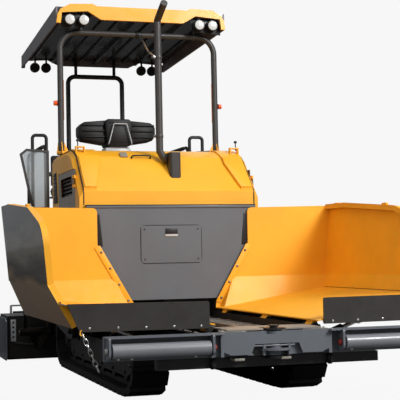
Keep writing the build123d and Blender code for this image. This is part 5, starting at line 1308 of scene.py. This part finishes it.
@dataclass(frozen=True)
class BulkheadTrim:
    """Hatch screws, sight window with its lip, hatch seal, side seals and top lip of the bulkhead."""

    face: float = -0.564
    hatch_stands: float = 0.005
    screw_spots: Spots = ((-0.29, 1.13), (0.25, 1.13), (0.25, 1.42), (-0.29, 1.42))
    window_x: tuple[float, float] = (-0.083, 0.043)
    window_z: tuple[float, float] = (1.372, 1.427)
    lip_section: Spots = ((0.0004, 1.371), (0.010, 1.371), (0.006, 1.350), (0.0004, 1.350))
    lip_wide: float = 0.126
    hatch: tuple[float, float, float, float] = (-0.3285, 0.2885, 1.0915, 1.4585)
    hatch_cut: float = 0.03
    flap_outline: Spots = ((0.705, 1.262), (0.752, 1.262), (0.752, 1.560), (0.735, 1.575))
    top_half: float = 0.858
    top_z: tuple[float, float] = (1.628, 1.650)

    def seal_line(self) -> list[Point]:
        """Draw the hatch seal's closed line with its cut corners.

        Returns:
            The line's points.
        """
        left, right, low, high = self.hatch
        cut = self.hatch_cut
        edge = [(left + cut, low), (right - cut, low), (right, low + cut), (right, high - cut),
                (right - cut, high), (left + cut, high), (left, high - cut), (left, low + cut),
                (left + cut, low)]
        return [(x, self.face - 0.0012, z) for x, z in edge]

    def build(self) -> None:
        """Build the bulkhead's trim."""
        y = self.face - self.hatch_stands
        screws = [disc(f"hatch_screw_{index}", (x, y - 0.0003, z), (x, y - 0.0033, z), 0.010, edge=0.0012,
                       sides=24)
                  for index, (x, z) in enumerate(self.screw_spots)]
        dress(joined(screws, "hatch_screws"), Finish.TUBE, "tractor")
        (left, right), (low, high) = self.window_x, self.window_z
        window = slab("hatch_window", (left, y - 0.0034, low), (right, y - HAIR, high), edge=0.001)
        dress(window, Finish.BLACK, "tractor")
        lip = plate("hatch_lip", [(left, y - out, z) for out, z in self.lip_section],
                    (self.lip_wide, 0.0, 0.0), edge=0.001)
        dress(lip, Finish.WIRE, "tractor")
        dress(rod("hatch_seal", self.seal_line(), 0.0032, rounding=2), Finish.RUBBER, "tractor")
        for side, word in SIDES:
            points = [(side * x, self.face - 0.006, z) for x, z in self.flap_outline]
            dress(plate(f"side_seal_{word}", points, (0.0, 0.0055, 0.0), edge=0.001), Finish.RUBBER,
                  "tractor")
        low, high = self.top_z
        rib = slab("bulkhead_top_lip", (-self.top_half, self.face - 0.010, low),
                   (self.top_half, self.face - CLEAR, high), edge=0.004)
        dress(rib, Finish.GREY, "tractor")


@dataclass(frozen=True)
class HopperTrim:
    """Flange and clamp strips, bolts, corner welds, rim lugs and stay chains of the hopper's wings."""

    rear: float = -0.590
    front: float = -2.945
    flange: Spots = ((0.741, 1.270), (0.415, 0.712), (0.470, 0.690), (0.796, 1.248))
    flange_thick: float = 0.008
    bolt_spots: Spots = ((0.728, 1.205), (0.642, 1.050), (0.556, 0.896), (0.470, 0.742))
    apron_bolts: tuple[float, ...] = (0.532, 0.743, 0.955, 1.165, 1.377)
    apron_bolt_z: float = 0.640
    apron_slope: float = 0.014
    clamp_outline: Spots = ((0.470, 0.6265), (1.440, 0.6265), (1.452, 0.664), (0.470, 0.656))
    weld: tuple[float, float] = (1.530, 0.832)
    weld_stations: tuple[float, ...] = (-2.73, -1.7, -0.70)
    lugs: Line = ((1.634, -0.80, 1.636), (1.626, -1.80, 1.585))
    lug_size: Point = (0.028, 0.08, 0.022)
    chain_y: float = -2.975
    chain_top: tuple[float, float] = (1.432, 0.612)
    chain_low: tuple[float, float] = (1.318, 0.345)
    link_count: int = 7
    link_shape: Point = (1.5, 0.8, 1.0)
    hook_line: Spots = ((1.442, 0.645), (1.455, 0.622), (1.447, 0.604), (1.431, 0.603), (1.424, 0.616))

    def wing(self, side: int, word: str) -> None:
        """Build one wing's trim.

        Args:
            side: 1 for the left wing and -1 for the right one.
            word: the side's name.
        """
        body = f"wing_{word}"
        ahead = (0.0, -1.0, 0.0)
        y = self.rear - HAIR
        strip = plate(f"flange_strip_{word}", [(side * x, y, z) for x, z in self.flange],
                      (0.0, -self.flange_thick, 0.0), edge=0.002)
        dress(strip, Finish.YELLOW_LOW, body)
        places = [(side * x, y - self.flange_thick, z) for x, z in self.bolt_spots]
        bolt_row(f"flange_bolts_{word}", places, ahead, body, 0.009, Finish.DULL_BOLT)
        places = [(side * x, self.front - 0.0006,
                   self.apron_bolt_z + self.apron_slope * (x - 0.5)) for x in self.apron_bolts]
        bolt_row(f"apron_bolts_{word}", places, ahead, body, 0.010)
        points = [(side * x, self.front - HAIR, z) for x, z in self.clamp_outline]
        strip = plate(f"apron_clamp_strip_{word}", points, (0.0, -0.0035, 0.0), edge=0.001)
        dress(strip, Finish.STRIP, body)
        weld_x, weld_z = self.weld
        weld = rod(f"corner_weld_{word}",
                   [(side * weld_x, station, weld_z) for station in self.weld_stations], 0.006,
                   rounding=2)
        dress(weld, Finish.YELLOW_LOW, body)
        wide, deep, high = self.lug_size
        lugs = [slab(f"rim_lug_{word}_{index}", (side * x - wide / 2, station - deep / 2, z),
                     (side * x + wide / 2, station + deep / 2, z + high), edge=0.005)
                for index, (x, station, z) in enumerate(self.lugs)]
        dress(joined(lugs, f"rim_lugs_{word}"), Finish.YELLOW, body)

    def chain(self, side: int, word: str) -> None:
        """Hang the stay chain from the apron's outer foot.

        Args:
            side: 1 for the left wing and -1 for the right one.
            word: the side's name.
        """
        top, low = (Vector((side * x, self.chain_y, z)) for x, z in (self.chain_top, self.chain_low))
        line = low - top
        links = []
        for index in range(self.link_count):
            clear_selection()
            spot = top + line * (index + 0.5) / self.link_count
            turn = line.to_track_quat("X", "Z").to_euler()
            bpy.ops.mesh.primitive_torus_add(location=spot, rotation=turn, major_radius=0.0185,
                                             minor_radius=0.0038, major_segments=20, minor_segments=8)
            link = bpy.context.object
            link.scale = self.link_shape
            if index % 2:
                link.rotation_euler.rotate_axis("X", math.pi / 2)
            links.append(smooth(settle(link, f"chain_link_{word}_{index}")))
        dress(joined(links, f"apron_chain_{word}"), Finish.BOLT, f"wing_{word}")
        bends = [(side * x, self.chain_y, z) for x, z in self.hook_line]
        dress(rod(f"chain_hook_{word}", bends, 0.006), Finish.YELLOW_LOW, f"wing_{word}")

    def build(self) -> None:
        """Build both wings' trim."""
        for side, word in SIDES:
            self.wing(side, word)
            self.chain(side, word)


@dataclass(frozen=True)
class PushBeamTrim:
    """Axle nuts, cover plates, bolts, tow lugs, pivot cap and hitch of the push beam."""

    face: float = -3.080
    axle: tuple[float, float] = (-3.144, 0.497)
    inner_nut: float = 0.4995
    outer_nut: float = 1.297
    cover_x: tuple[float, float] = (0.225, 0.43)
    cover_y: tuple[float, float] = (-3.075, -3.034)
    cover_z: tuple[float, float] = (0.5955, 0.601)
    cover_bolts: tuple[float, float] = (0.25, 0.405)
    end_bolts: tuple[float, ...] = (1.20, 1.10, 0.62)
    end_bolt_z: float = 0.436
    lugs: tuple[float, float] = (0.077, -0.29)
    lug_half: float = 0.040
    pivot_y: float = -3.055
    web_outline: Spots = ((-0.215, 0.486), (-0.165, 0.425), (0.085, 0.425), (0.130, 0.486))
    shelf_x: tuple[float, float] = (-0.228, 0.142)
    shelf_front: float = -3.118
    shelf_z: tuple[float, float] = (0.4865, 0.4965)

    def rollers(self) -> None:
        """Put a nut on each end of the rollers' axles; the inner ones are marked red."""
        for side, word in SIDES:
            inner = bolt_head(f"axle_nut_{word}_0", (side * self.inner_nut, *self.axle),
                              (-side, 0.0, 0.0), 0.021, 0.012)
            dress(inner, Finish.PIN, "push_beam")
            outer = bolt_head(f"axle_nut_{word}_1", (side * self.outer_nut, *self.axle), (side, 0.0, 0.0),
                              0.021, 0.012)
            dress(outer, Finish.BOLT, "push_beam")

    def beam(self) -> None:
        """Lay cover plates and bolts on the beam, and the tow lugs under it."""
        front = self.face - CLEAR
        (cover_front, cover_rear), (cover_low, cover_top) = self.cover_y, self.cover_z
        for (side, word), lug_x in zip(SIDES, self.lugs):
            near, far = sorted(side * x for x in self.cover_x)
            top = slab(f"beam_cover_{word}", (near, cover_front, cover_low), (far, cover_rear, cover_top),
                       edge=0.002)
            dress(top, Finish.COVER, "push_beam")
            places = [(side * x, self.pivot_y, cover_top) for x in self.cover_bolts]
            bolt_row(f"beam_cover_bolts_{word}", places, (0.0, 0.0, 1.0), "push_beam", 0.008)
            places = [(side * x, front, self.end_bolt_z) for x in self.end_bolts]
            bolt_row(f"beam_end_bolts_{word}", places, (0.0, -1.0, 0.0), "push_beam", 0.008)
            lug = slab(f"tow_lug_{word}", (lug_x - self.lug_half, -3.105, 0.385),
                       (lug_x + self.lug_half, -2.995, 0.404), edge=0.005)
            dress(lug, Finish.COVER, "tractor")

    def hitch(self) -> None:
        """Cap the pivot, and build the ring, web and shelf of the hitch in the beam's middle."""
        front = self.face - CLEAR
        pin = disc("pivot_cap", (0.0, self.pivot_y, 0.629), (0.0, self.pivot_y, 0.638), 0.040, edge=0.003)
        dress(pin, Finish.BLACK, "tractor")
        ring = disc("hitch_ring", (0.0, self.pivot_y, 0.4485), (0.0, self.pivot_y, 0.4545), 0.085,
                    edge=0.002, sides=40)
        dress(ring, Finish.BLACK, "push_beam")
        web = plate("hitch_web", [(x, front, z) for x, z in self.web_outline], (0.0, -0.005, 0.0),
                    edge=0.001)
        dress(web, Finish.BLACK, "push_beam")
        (left, right), (low, high) = self.shelf_x, self.shelf_z
        shelf = slab("hitch_shelf", (left, self.shelf_front, low), (right, front, high), edge=0.003)
        dress(shelf, Finish.ROLLER, "push_beam")

    def build(self) -> None:
        """Build the push beam's trim."""
        self.rollers()
        self.beam()
        self.hitch()


@dataclass(frozen=True)
class TrackTrim:
    """Caps and bolts of the track wheels and frames."""

    middle: float = 0.6975
    idler: tuple[float, float] = (-1.884, 0.304)
    idler_out: float = 0.0865
    idler_cap: tuple[float, float] = (0.062, 0.022)
    idler_ring: float = 0.044
    idler_bolts: int = 6
    sprocket: tuple[float, float] = (0.850, 0.300)
    sprocket_out: float = 0.0605
    sprocket_cap: tuple[float, float] = (0.080, 0.030)
    sprocket_ring: float = 0.088
    sprocket_bolts: int = 12
    rollers: int = 6
    roller_span: tuple[float, float] = (-1.64, 0.47)
    roller_z: float = 0.185

    @staticmethod
    def ring(x: float, middle: tuple[float, float], radius: float, count: int) -> list[Point]:
        """Return places on a circle that faces sideways.

        Args:
            x: where the circle stands.
            middle: its centre, along and up.
            radius: its radius.
            count: how many places it has.

        Returns:
            The places.
        """
        turns = (math.tau * index / count for index in range(count))
        return [(x, middle[0] + radius * math.cos(turn),
                 middle[1] + radius * math.sin(turn)) for turn in turns]

    def build(self) -> None:
        """Build the trim of both tracks' running gear."""
        for side, word in SIDES:
            out = (side, 0.0, 0.0)
            x = side * (self.middle + self.idler_out)
            radius, thick = self.idler_cap
            cap = disc(f"idler_cap_{word}", (x, *self.idler), (x + side * thick, *self.idler), radius,
                       edge=0.006, sides=36)
            dress(cap, Finish.BLACK, "tractor")
            places = self.ring(x + side * thick, self.idler, self.idler_ring, self.idler_bolts)
            bolt_row(f"idler_bolts_{word}", places, out, "tractor", 0.006)
            hub_x = side * (self.middle + self.sprocket_out)
            radius, thick = self.sprocket_cap
            hub = disc(f"drive_cap_{word}", (hub_x, *self.sprocket),
                       (hub_x + side * thick, *self.sprocket), radius, edge=0.010, sides=40)
            dress(hub, Finish.BLACK, "tractor")
            places = self.ring(hub_x + side * CLEAR, self.sprocket, self.sprocket_ring,
                               self.sprocket_bolts)
            bolt_row(f"drive_bolts_{word}", places, out, "tractor", 0.006)
            low, high = self.roller_span
            axles = [(x, low + (high - low) * index / (self.rollers - 1),
                      self.roller_z) for index in range(self.rollers)]
            bolt_row(f"roller_axle_bolts_{word}", axles, out, "tractor", 0.014, Finish.BLACK)


@dataclass(frozen=True)
class DeckTrim:
    """Tread bars, toe boards, rail feet and rail grips of the operator's deck."""

    top: float = 1.550
    half: float = 0.950
    rear: float = 2.830
    front: float = 0.815
    pitch: float = 0.095
    margin: float = 0.15
    bar_lean: float = 0.014
    bar_wide: float = 0.004
    bar_reach: float = 0.018
    bar_high: float = 0.003
    rail_x: float = 0.86
    rail_feet: tuple[float, ...] = (1.51, 1.57, 2.77)
    rail_top: float = 2.45
    grip_span: tuple[float, float] = (1.75, 2.35)
    board_x: float = 0.938
    board_front: float = 1.62
    board_high: float = 0.09

    def bar(self, name: str, x: float, y: float, lean: float) -> bpy.types.Object:
        """Model one raised bar of the tread.

        Args:
            name: its name.
            x: its middle across.
            y: its middle along.
            lean: how far its ends stand aside, with its sense.

        Returns:
            The bar.
        """
        z = self.top + HAIR
        near, far = y - self.bar_reach, y + self.bar_reach
        points = [(x - lean - self.bar_wide, near, z), (x - lean + self.bar_wide, near, z),
                  (x + lean + self.bar_wide, far, z), (x + lean - self.bar_wide, far, z)]
        return plate(name, points, (0.0, 0.0, self.bar_high), edge=0.0)

    def tread(self) -> None:
        """Cover the deck with raised diagonal bars that lean by turns."""
        rows = int((self.rear - self.front - 0.2) / self.pitch)
        columns = int(2 * (self.half - 0.13) / self.pitch)
        bars = []
        first = {}
        for row in range(rows):
            for column in range(columns):
                name = f"tread_bar_{row}_{column}"
                x = -self.half + self.margin + self.pitch * column
                y = self.front + self.margin + self.pitch * row
                lean = self.bar_lean if (row + column) % 2 else -self.bar_lean
                if lean in first:
                    source, from_x, from_y = first[lean]
                    bars.append(moved(source, name, (x - from_x, y - from_y, 0.0)))
                else:
                    first[lean] = (self.bar(name, x, y, lean), x, y)
                    bars.append(first[lean][0])
        dress(joined(bars, "deck_tread"), Finish.TUBE, "tractor")

    def build(self) -> None:
        """Build the deck's trim."""
        self.tread()
        foot = self.top + HAIR
        for side, word in SIDES:
            x = side * self.rail_x
            feet = [disc(f"rail_foot_{word}_{index}", (x, y, foot), (x, y, self.top + 0.012), 0.028,
                         edge=0.002, sides=28)
                    for index, y in enumerate(self.rail_feet)]
            dress(joined(feet, f"rail_feet_{word}"), Finish.BLACK, "tractor")
            board = slab(f"toe_board_{word}", (side * self.board_x - 0.004, self.board_front, foot),
                         (side * self.board_x + 0.004, self.rear - 0.03, self.top + self.board_high),
                         edge=0.003)
            dress(board, Finish.YELLOW, "tractor")
            start, end = ((x, y, self.rail_top) for y in self.grip_span)
            dress(disc(f"rail_grip_{word}", start, end, 0.0235, edge=0.003, sides=28), Finish.RUBBER,
                  "tractor")


@dataclass(frozen=True)
class ConsoleTrim:
    """The operator's console: a ribbed shell of three lobes on a pillar, with switches, screen and lever."""

    face: float = 1.355
    back: float = 1.660
    x: float = -0.040
    low: float = 2.430
    high: float = 2.745
    deck: float = 1.550
    lobe_outline: Spots = ((0.13, 2.735), (0.40, 2.712), (0.452, 2.66), (0.452, 2.56), (0.415, 2.500),
                           (0.13, 2.455))
    ribs: Spots = ((2.665, 2.688), (2.600, 2.620), (2.530, 2.548))
    rib_span: tuple[float, float] = (0.15, 0.435)
    rib_step: float = 0.012
    shoulder_z: float = 2.700
    pillar_half: float = 0.11
    collar_half: float = 0.155
    screen_z: tuple[float, float] = (2.50, 2.68)
    switch_banks: tuple[float, float] = (-0.35, 0.27)
    switch_pitch: tuple[float, float] = (0.04, 0.05)
    switch_z: float = 2.58
    lever_x: float = 0.08

    def lobe(self, word: str, side: int) -> list[bpy.types.Object]:
        """Build one side lobe with its long ribs.

        Args:
            word: the side's name.
            side: 1 for the left lobe and -1 for the right one.

        Returns:
            The lobe's pieces.
        """
        points = [(self.x + side * x, self.face + 0.055, z) for x, z in self.lobe_outline]
        pieces = [plate(f"console_lobe_{word}", points, (0.0, self.back - self.face - 0.075, 0.0),
                        edge=0.018)]
        start, end = self.rib_span
        for index, (low, high) in enumerate(self.ribs):
            near, far = self.x + side * start, self.x + side * (end - self.rib_step * index)
            pieces.append(slab(f"console_rib_{word}_{index}", (min(near, far), self.face + 0.035, low),
                               (max(near, far), self.face + 0.075, high), edge=0.008))
        return pieces

    def shell(self) -> None:
        """Build the three-lobed shell in the plain console's place, and the pillar with its collar."""
        outline = ((-0.165, self.shoulder_z), (-0.130, self.high), (0.130, self.high),
                   (0.165, self.shoulder_z), (0.135, self.low), (-0.135, self.low))
        middle = [(self.x + x, self.face + 0.004, z) for x, z in outline]
        core = plate("console_core", middle, (0.0, self.back - self.face - 0.010, 0.0), edge=0.016)
        brow = slab("console_brow", (self.x - 0.120, self.face + 0.001, 2.690),
                    (self.x + 0.120, self.face + 0.030, 2.712), edge=0.007)
        inset = slab("console_inset", (self.x - 0.100, self.face + 0.001, 2.470),
                     (self.x + 0.100, self.face + 0.012, 2.660), edge=0.004)
        shell = joined([core, brow, inset, *self.lobe("left", 1), *self.lobe("right", -1)],
                       "console_shell")
        dress(shell, Finish.CONSOLE, "tractor", "console")
        pillar = slab("console_pillar", (self.x - self.pillar_half, 1.42, self.deck + HAIR),
                      (self.x + self.pillar_half, 1.60, 2.435), edge=0.02)
        collar = slab("console_collar", (self.x - self.collar_half, 1.40, 2.330),
                      (self.x + self.collar_half, 1.62, 2.425), edge=0.03)
        dress(joined([pillar, collar], "console_pillar"), Finish.WIRE, "tractor")

    def controls(self) -> None:
        """Fit the screen, the two banks of switches and the drive lever on the operator's side."""
        low, high = self.screen_z
        screen = slab("console_screen", (self.x - 0.10, self.back - 0.010, low),
                      (self.x + 0.10, self.back - CLEAR, high), edge=0.004)
        dress(screen, Finish.PANE_BLACK, "tractor")
        across, up = self.switch_pitch
        for index, x in enumerate(self.switch_banks):
            knobs = []
            for row in range(2):
                for column in range(4):
                    spot = (x - 0.06 + across * column, self.back - 0.0215, self.switch_z + up * row)
                    knobs.append(disc(f"switch_{index}_{row}_{column}", spot,
                                      (spot[0], spot[1] + 0.014, spot[2]), 0.009, edge=0.002, sides=16))
            dress(joined(knobs, f"switches_{index}"), Finish.DULL_BOLT, "tractor")
        x, y = self.lever_x, self.back
        stem = rod("drive_lever_stem", [(x, y - 0.012, 2.475), (x, y + 0.03, 2.49), (x, y + 0.05, 2.55)],
                   0.007)
        knob = disc("drive_lever_knob", (x, y + 0.05, 2.54), (x, y + 0.05, 2.59), 0.020, edge=0.008,
                    sides=24)
        dress(joined([stem, knob], "drive_lever"), Finish.BLACK, "tractor")

    def build(self) -> None:
        """Build the console."""
        self.shell()
        self.controls()


@dataclass(frozen=True)
class SeatSet:
    """Two cushioned seats on boxes, with piping and arm rests; they take the place of the plain seats."""

    places: tuple[float, float] = (0.470, -0.470)
    y: float = 2.110
    base: float = 1.550
    pan_z: float = 0.33
    seat_z: float = 0.41
    seat_size: Point = (0.43, 0.44, 0.115)
    back_place: tuple[float, float] = (0.195, 0.665)
    back_size: Point = (0.41, 0.105, 0.40)
    arm_x: float = 0.232
    arm_z: float = 0.60
    arm_pad: Point = (0.05, 0.27, 0.045)
    piping_plan: Spots = ((-0.205, -0.215), (0.205, -0.215), (0.215, 0.13), (-0.215, 0.13))
    crown: float = 0.32
    thick: float = 0.1
    voxel: float = 0.010
    puff: float = 0.012
    pressure: float = 4.0
    frames: int = 20

    def swell(self, piece: bpy.types.Object) -> None:
        """Blow a cushion up as cloth over foam, no point further than the puff, and keep the result.

        Args:
            piece: the cushion.
        """
        apply_modifier(piece, "REMESH", mode="VOXEL", voxel_size=self.voxel)
        slack = [vertex.co.copy() for vertex in piece.data.vertices]
        cloth = piece.modifiers.new("cloth", "CLOTH")
        cloth.settings.use_pressure = True
        cloth.settings.uniform_pressure_force = self.pressure
        cloth.settings.effector_weights.gravity = 0.0
        cloth.point_cache.frame_end = self.frames
        scene = bpy.context.scene
        for moment in range(1, self.frames + 1):
            scene.frame_set(moment)
        blown = piece.evaluated_get(bpy.context.evaluated_depsgraph_get()).data
        tight = [vertex.co.copy() for vertex in blown.vertices]
        piece.modifiers.remove(cloth)
        scene.frame_set(1)
        for vertex, old, new in zip(piece.data.vertices, slack, tight):
            step = new - old
            if step.length > self.puff:
                step *= self.puff / step.length
            vertex.co = old + step
        apply_modifier(piece, "SMOOTH", factor=0.5, iterations=3)

    def cushion(self, name: str, middle: Point, size: Point) -> bpy.types.Object:
        """Args:
            name: its name.
            middle: its middle.
            size: its width, depth and height.

        Returns:
            The cushion.
        """
        clear_selection()
        bpy.ops.mesh.primitive_cube_add(size=1.0, location=middle, scale=size)
        piece = settle(bpy.context.object, name)
        apply_modifier(piece, "BEVEL", width=min(size) * self.crown, segments=3, limit_method="ANGLE",
                       angle_limit=EDGE_ANGLE)
        apply_modifier(piece, "SUBSURF", levels=2, render_levels=2)
        if min(size) > self.thick:
            self.swell(piece)
        return smooth(piece, 60.0)

    def seat_frame(self, word: str, x: float) -> None:
        """Build one seat's box, pan and arm tubes.

        Args:
            word: the side's name.
            x: the seat's middle.
        """
        pan = self.base + self.pan_z
        pedestal = slab(f"seat_pedestal_{word}", (x - 0.15, self.y - 0.10, self.base + HAIR),
                        (x + 0.15, self.y + 0.20, pan), edge=0.012)
        shell = slab(f"seat_pan_{word}", (x - 0.21, self.y - 0.20, pan),
                     (x + 0.21, self.y + 0.23, self.base + 0.352), edge=0.008)
        rear, top = self.y + 0.20, self.base + self.arm_z
        arms = [rod(f"arm_tube_{word}_{side}", [(arm_x, rear, self.base + 0.36), (arm_x, rear, top),
                                                (arm_x, self.y - 0.08, top)], 0.010, rounding=2)
                for side, arm_x in ((-1, x - self.arm_x), (1, x + self.arm_x))]
        dress(joined([pedestal, shell, *arms], f"seat_frame_{word}"), Finish.BLACK, "tractor")

    def build(self) -> None:
        """Build both seats; the right one's cushions are copies of the left one's."""
        back_y, back_z = self.back_place
        seat_z = self.base + self.seat_z
        source = ()
        for word, x in zip(("left", "right"), self.places):
            self.seat_frame(word, x)
            if source:
                step = (x - self.places[0], 0.0, 0.0)
                seat, back = (moved(one, one.name.replace("left", word), step) for one in source)
            else:
                seat = self.cushion(f"seat_cushion_{word}", (x, self.y, seat_z), self.seat_size)
                back = self.cushion(f"seat_back_{word}", (x, self.y + back_y, self.base + back_z),
                                    self.back_size)
                source = (seat, back)
            pads = [self.cushion(f"arm_pad_{word}_{side}",
                                 (x + side * self.arm_x, self.y + 0.05, self.base + 0.615),
                                 self.arm_pad) for side in (-1, 1)]
            for part in (seat, back, *pads):
                dress(part, Finish.VINYL, "tractor", *(("seats",) if part is seat else ()))
            line = [(x + dx, self.y + dy, seat_z) for dx, dy in self.piping_plan]
            dress(rod(f"seat_piping_{word}", line, 0.005, rounding=2, closed=True), Finish.RUBBER,
                  "tractor")


@dataclass(frozen=True)
class ScreedTrim:
    """Heater caps and line, index plates, end links and depth cranks of the screed."""

    top: float = 0.500
    front: float = 1.810
    cap_start: float = -1.0
    cap_pitch: float = 0.4
    cap_count: int = 6
    cap_y: float = 2.18
    heater_line: Line = ((-1.15, 2.28, 0.520), (0.0, 2.28, 0.520), (1.15, 2.28, 0.520))
    index_x: float = 1.216
    index_z: tuple[float, float] = (0.21, 0.46)
    hole_z: float = 0.25
    hole_pitch: float = 0.055
    hole_count: int = 4
    link_line: Line = ((0.0, 1.79, 0.20), (0.12, 1.79, 0.175), (0.26, 1.79, 0.165))
    crank_x: float = 1.16
    crank_y: float = 2.36
    crank_arm: float = 0.14

    def heaters(self) -> None:
        """Set a row of caps along the screed and the line that feeds them."""
        foot = self.top + HAIR
        caps = []
        for index in range(self.cap_count):
            x = self.cap_start + self.cap_pitch * index
            caps.append(disc(f"heater_cap_{index}", (x, self.cap_y, foot),
                             (x, self.cap_y, self.top + 0.030), 0.045, edge=0.005))
        dress(joined(caps, "heater_caps"), Finish.BLACK, "screed")
        dress(rod("heater_line", self.heater_line, 0.012, rounding=2), Finish.TUBE, "screed")

    def end(self, side: int, word: str) -> None:
        """Build the index plate, the link and the depth crank at one end.

        Args:
            side: 1 for the left end and -1 for the right one.
            word: the side's name.
        """
        x = side * self.index_x
        low, high = self.index_z
        strip = slab(f"index_plate_{word}", (x - 0.030, self.front - 0.0075, low),
                     (x + 0.030, self.front - CLEAR, high), edge=0.001)
        dress(strip, Finish.WIRE, "screed")
        holes = [slab(f"index_hole_{word}_{index}",
                      (x - 0.011, self.front - 0.0092, self.hole_z + self.hole_pitch * index),
                      (x + 0.011, self.front - 0.0076, self.hole_z + 0.022 + self.hole_pitch * index),
                      edge=0.0005)
                 for index in range(self.hole_count)]
        dress(joined(holes, f"index_holes_{word}"), Finish.BLACK, "screed")
        link = rod(f"end_link_{word}", [(x - side * dx, y, z) for dx, y, z in self.link_line], 0.012)
        dress(link, Finish.TUBE, "screed")
        x, y = side * self.crank_x, self.crank_y
        far = x - side * self.crank_arm
        stem = disc(f"crank_stem_{word}", (x, y, self.top + HAIR), (x, y, self.top + 0.10), 0.014,
                    edge=0.002, sides=24)
        arm = rod(f"crank_arm_{word}",
                  [(x, y, self.top + 0.095), (far, y, self.top + 0.095), (far, y, self.top + 0.16)],
                  0.010, rounding=2)
        dress(joined([stem, arm], f"depth_crank_{word}"), Finish.WIRE, "screed")

    def build(self) -> None:
        """Build the screed's trim."""
        self.heaters()
        for side, word in SIDES:
            self.end(side, word)


@dataclass(frozen=True)
class ConveyorTrim:
    """The two drive chains along the conveyor's slats."""

    front: float = -2.838
    rear: float = -0.60
    middle: float = 0.345
    half: float = 0.014
    link_long: float = 0.042
    link_z: tuple[float, float] = (0.5345, 0.554)
    link_pitch: float = 0.05

    def build(self) -> None:
        """Model one link and copy it along both chains."""
        low_z, high_z = self.link_z
        start = self.front + 0.04
        corner = (-self.middle - self.half, start, low_z)
        first = slab("chain_link_source", corner,
                     (-self.middle + self.half, start + self.link_long, high_z), edge=0.004)
        links = [first]
        y = start
        while y < self.rear:
            for side in (-1, 1):
                step = (side * self.middle - self.half - corner[0], y - corner[1], 0.0)
                if any(step):
                    links.append(moved(first, f"conveyor_link_{len(links)}", step))
            y += self.link_pitch
        dress(joined(links, "conveyor_chains"), Finish.WORN, "tractor")


@dataclass(frozen=True)
class AugerTrim:
    """End caps of the augers' shafts."""

    middle_y: float = 1.560
    middle_z: float = 0.330
    end: float = 1.1805
    cap_thick: float = 0.006

    def build(self) -> None:
        """Build the augers' trim."""
        for side, word in SIDES:
            start = (side * self.end, self.middle_y, self.middle_z)
            stop = (start[0] + side * self.cap_thick, start[1], start[2])
            dress(disc(f"auger_cap_{word}", start, stop, 0.024, edge=0.002), Finish.WORN, f"auger_{word}")


def main() -> None:
    """Build the studio, finish the solids and add the fine pieces."""
    logging.basicConfig(level=logging.INFO, format="%(name)s: %(message)s")
    Studio().build()
    finish_solids()
    for part in (HoodTrim(), CanopyTrim(), ExhaustTrim(), BulkheadTrim(), HopperTrim(), PushBeamTrim(),
                 TrackTrim(), DeckTrim(), ConsoleTrim(), SeatSet(), ScreedTrim(), ConveyorTrim(),
                 AugerTrim()):
        part.build()


if __name__ == "__main__":
    main()
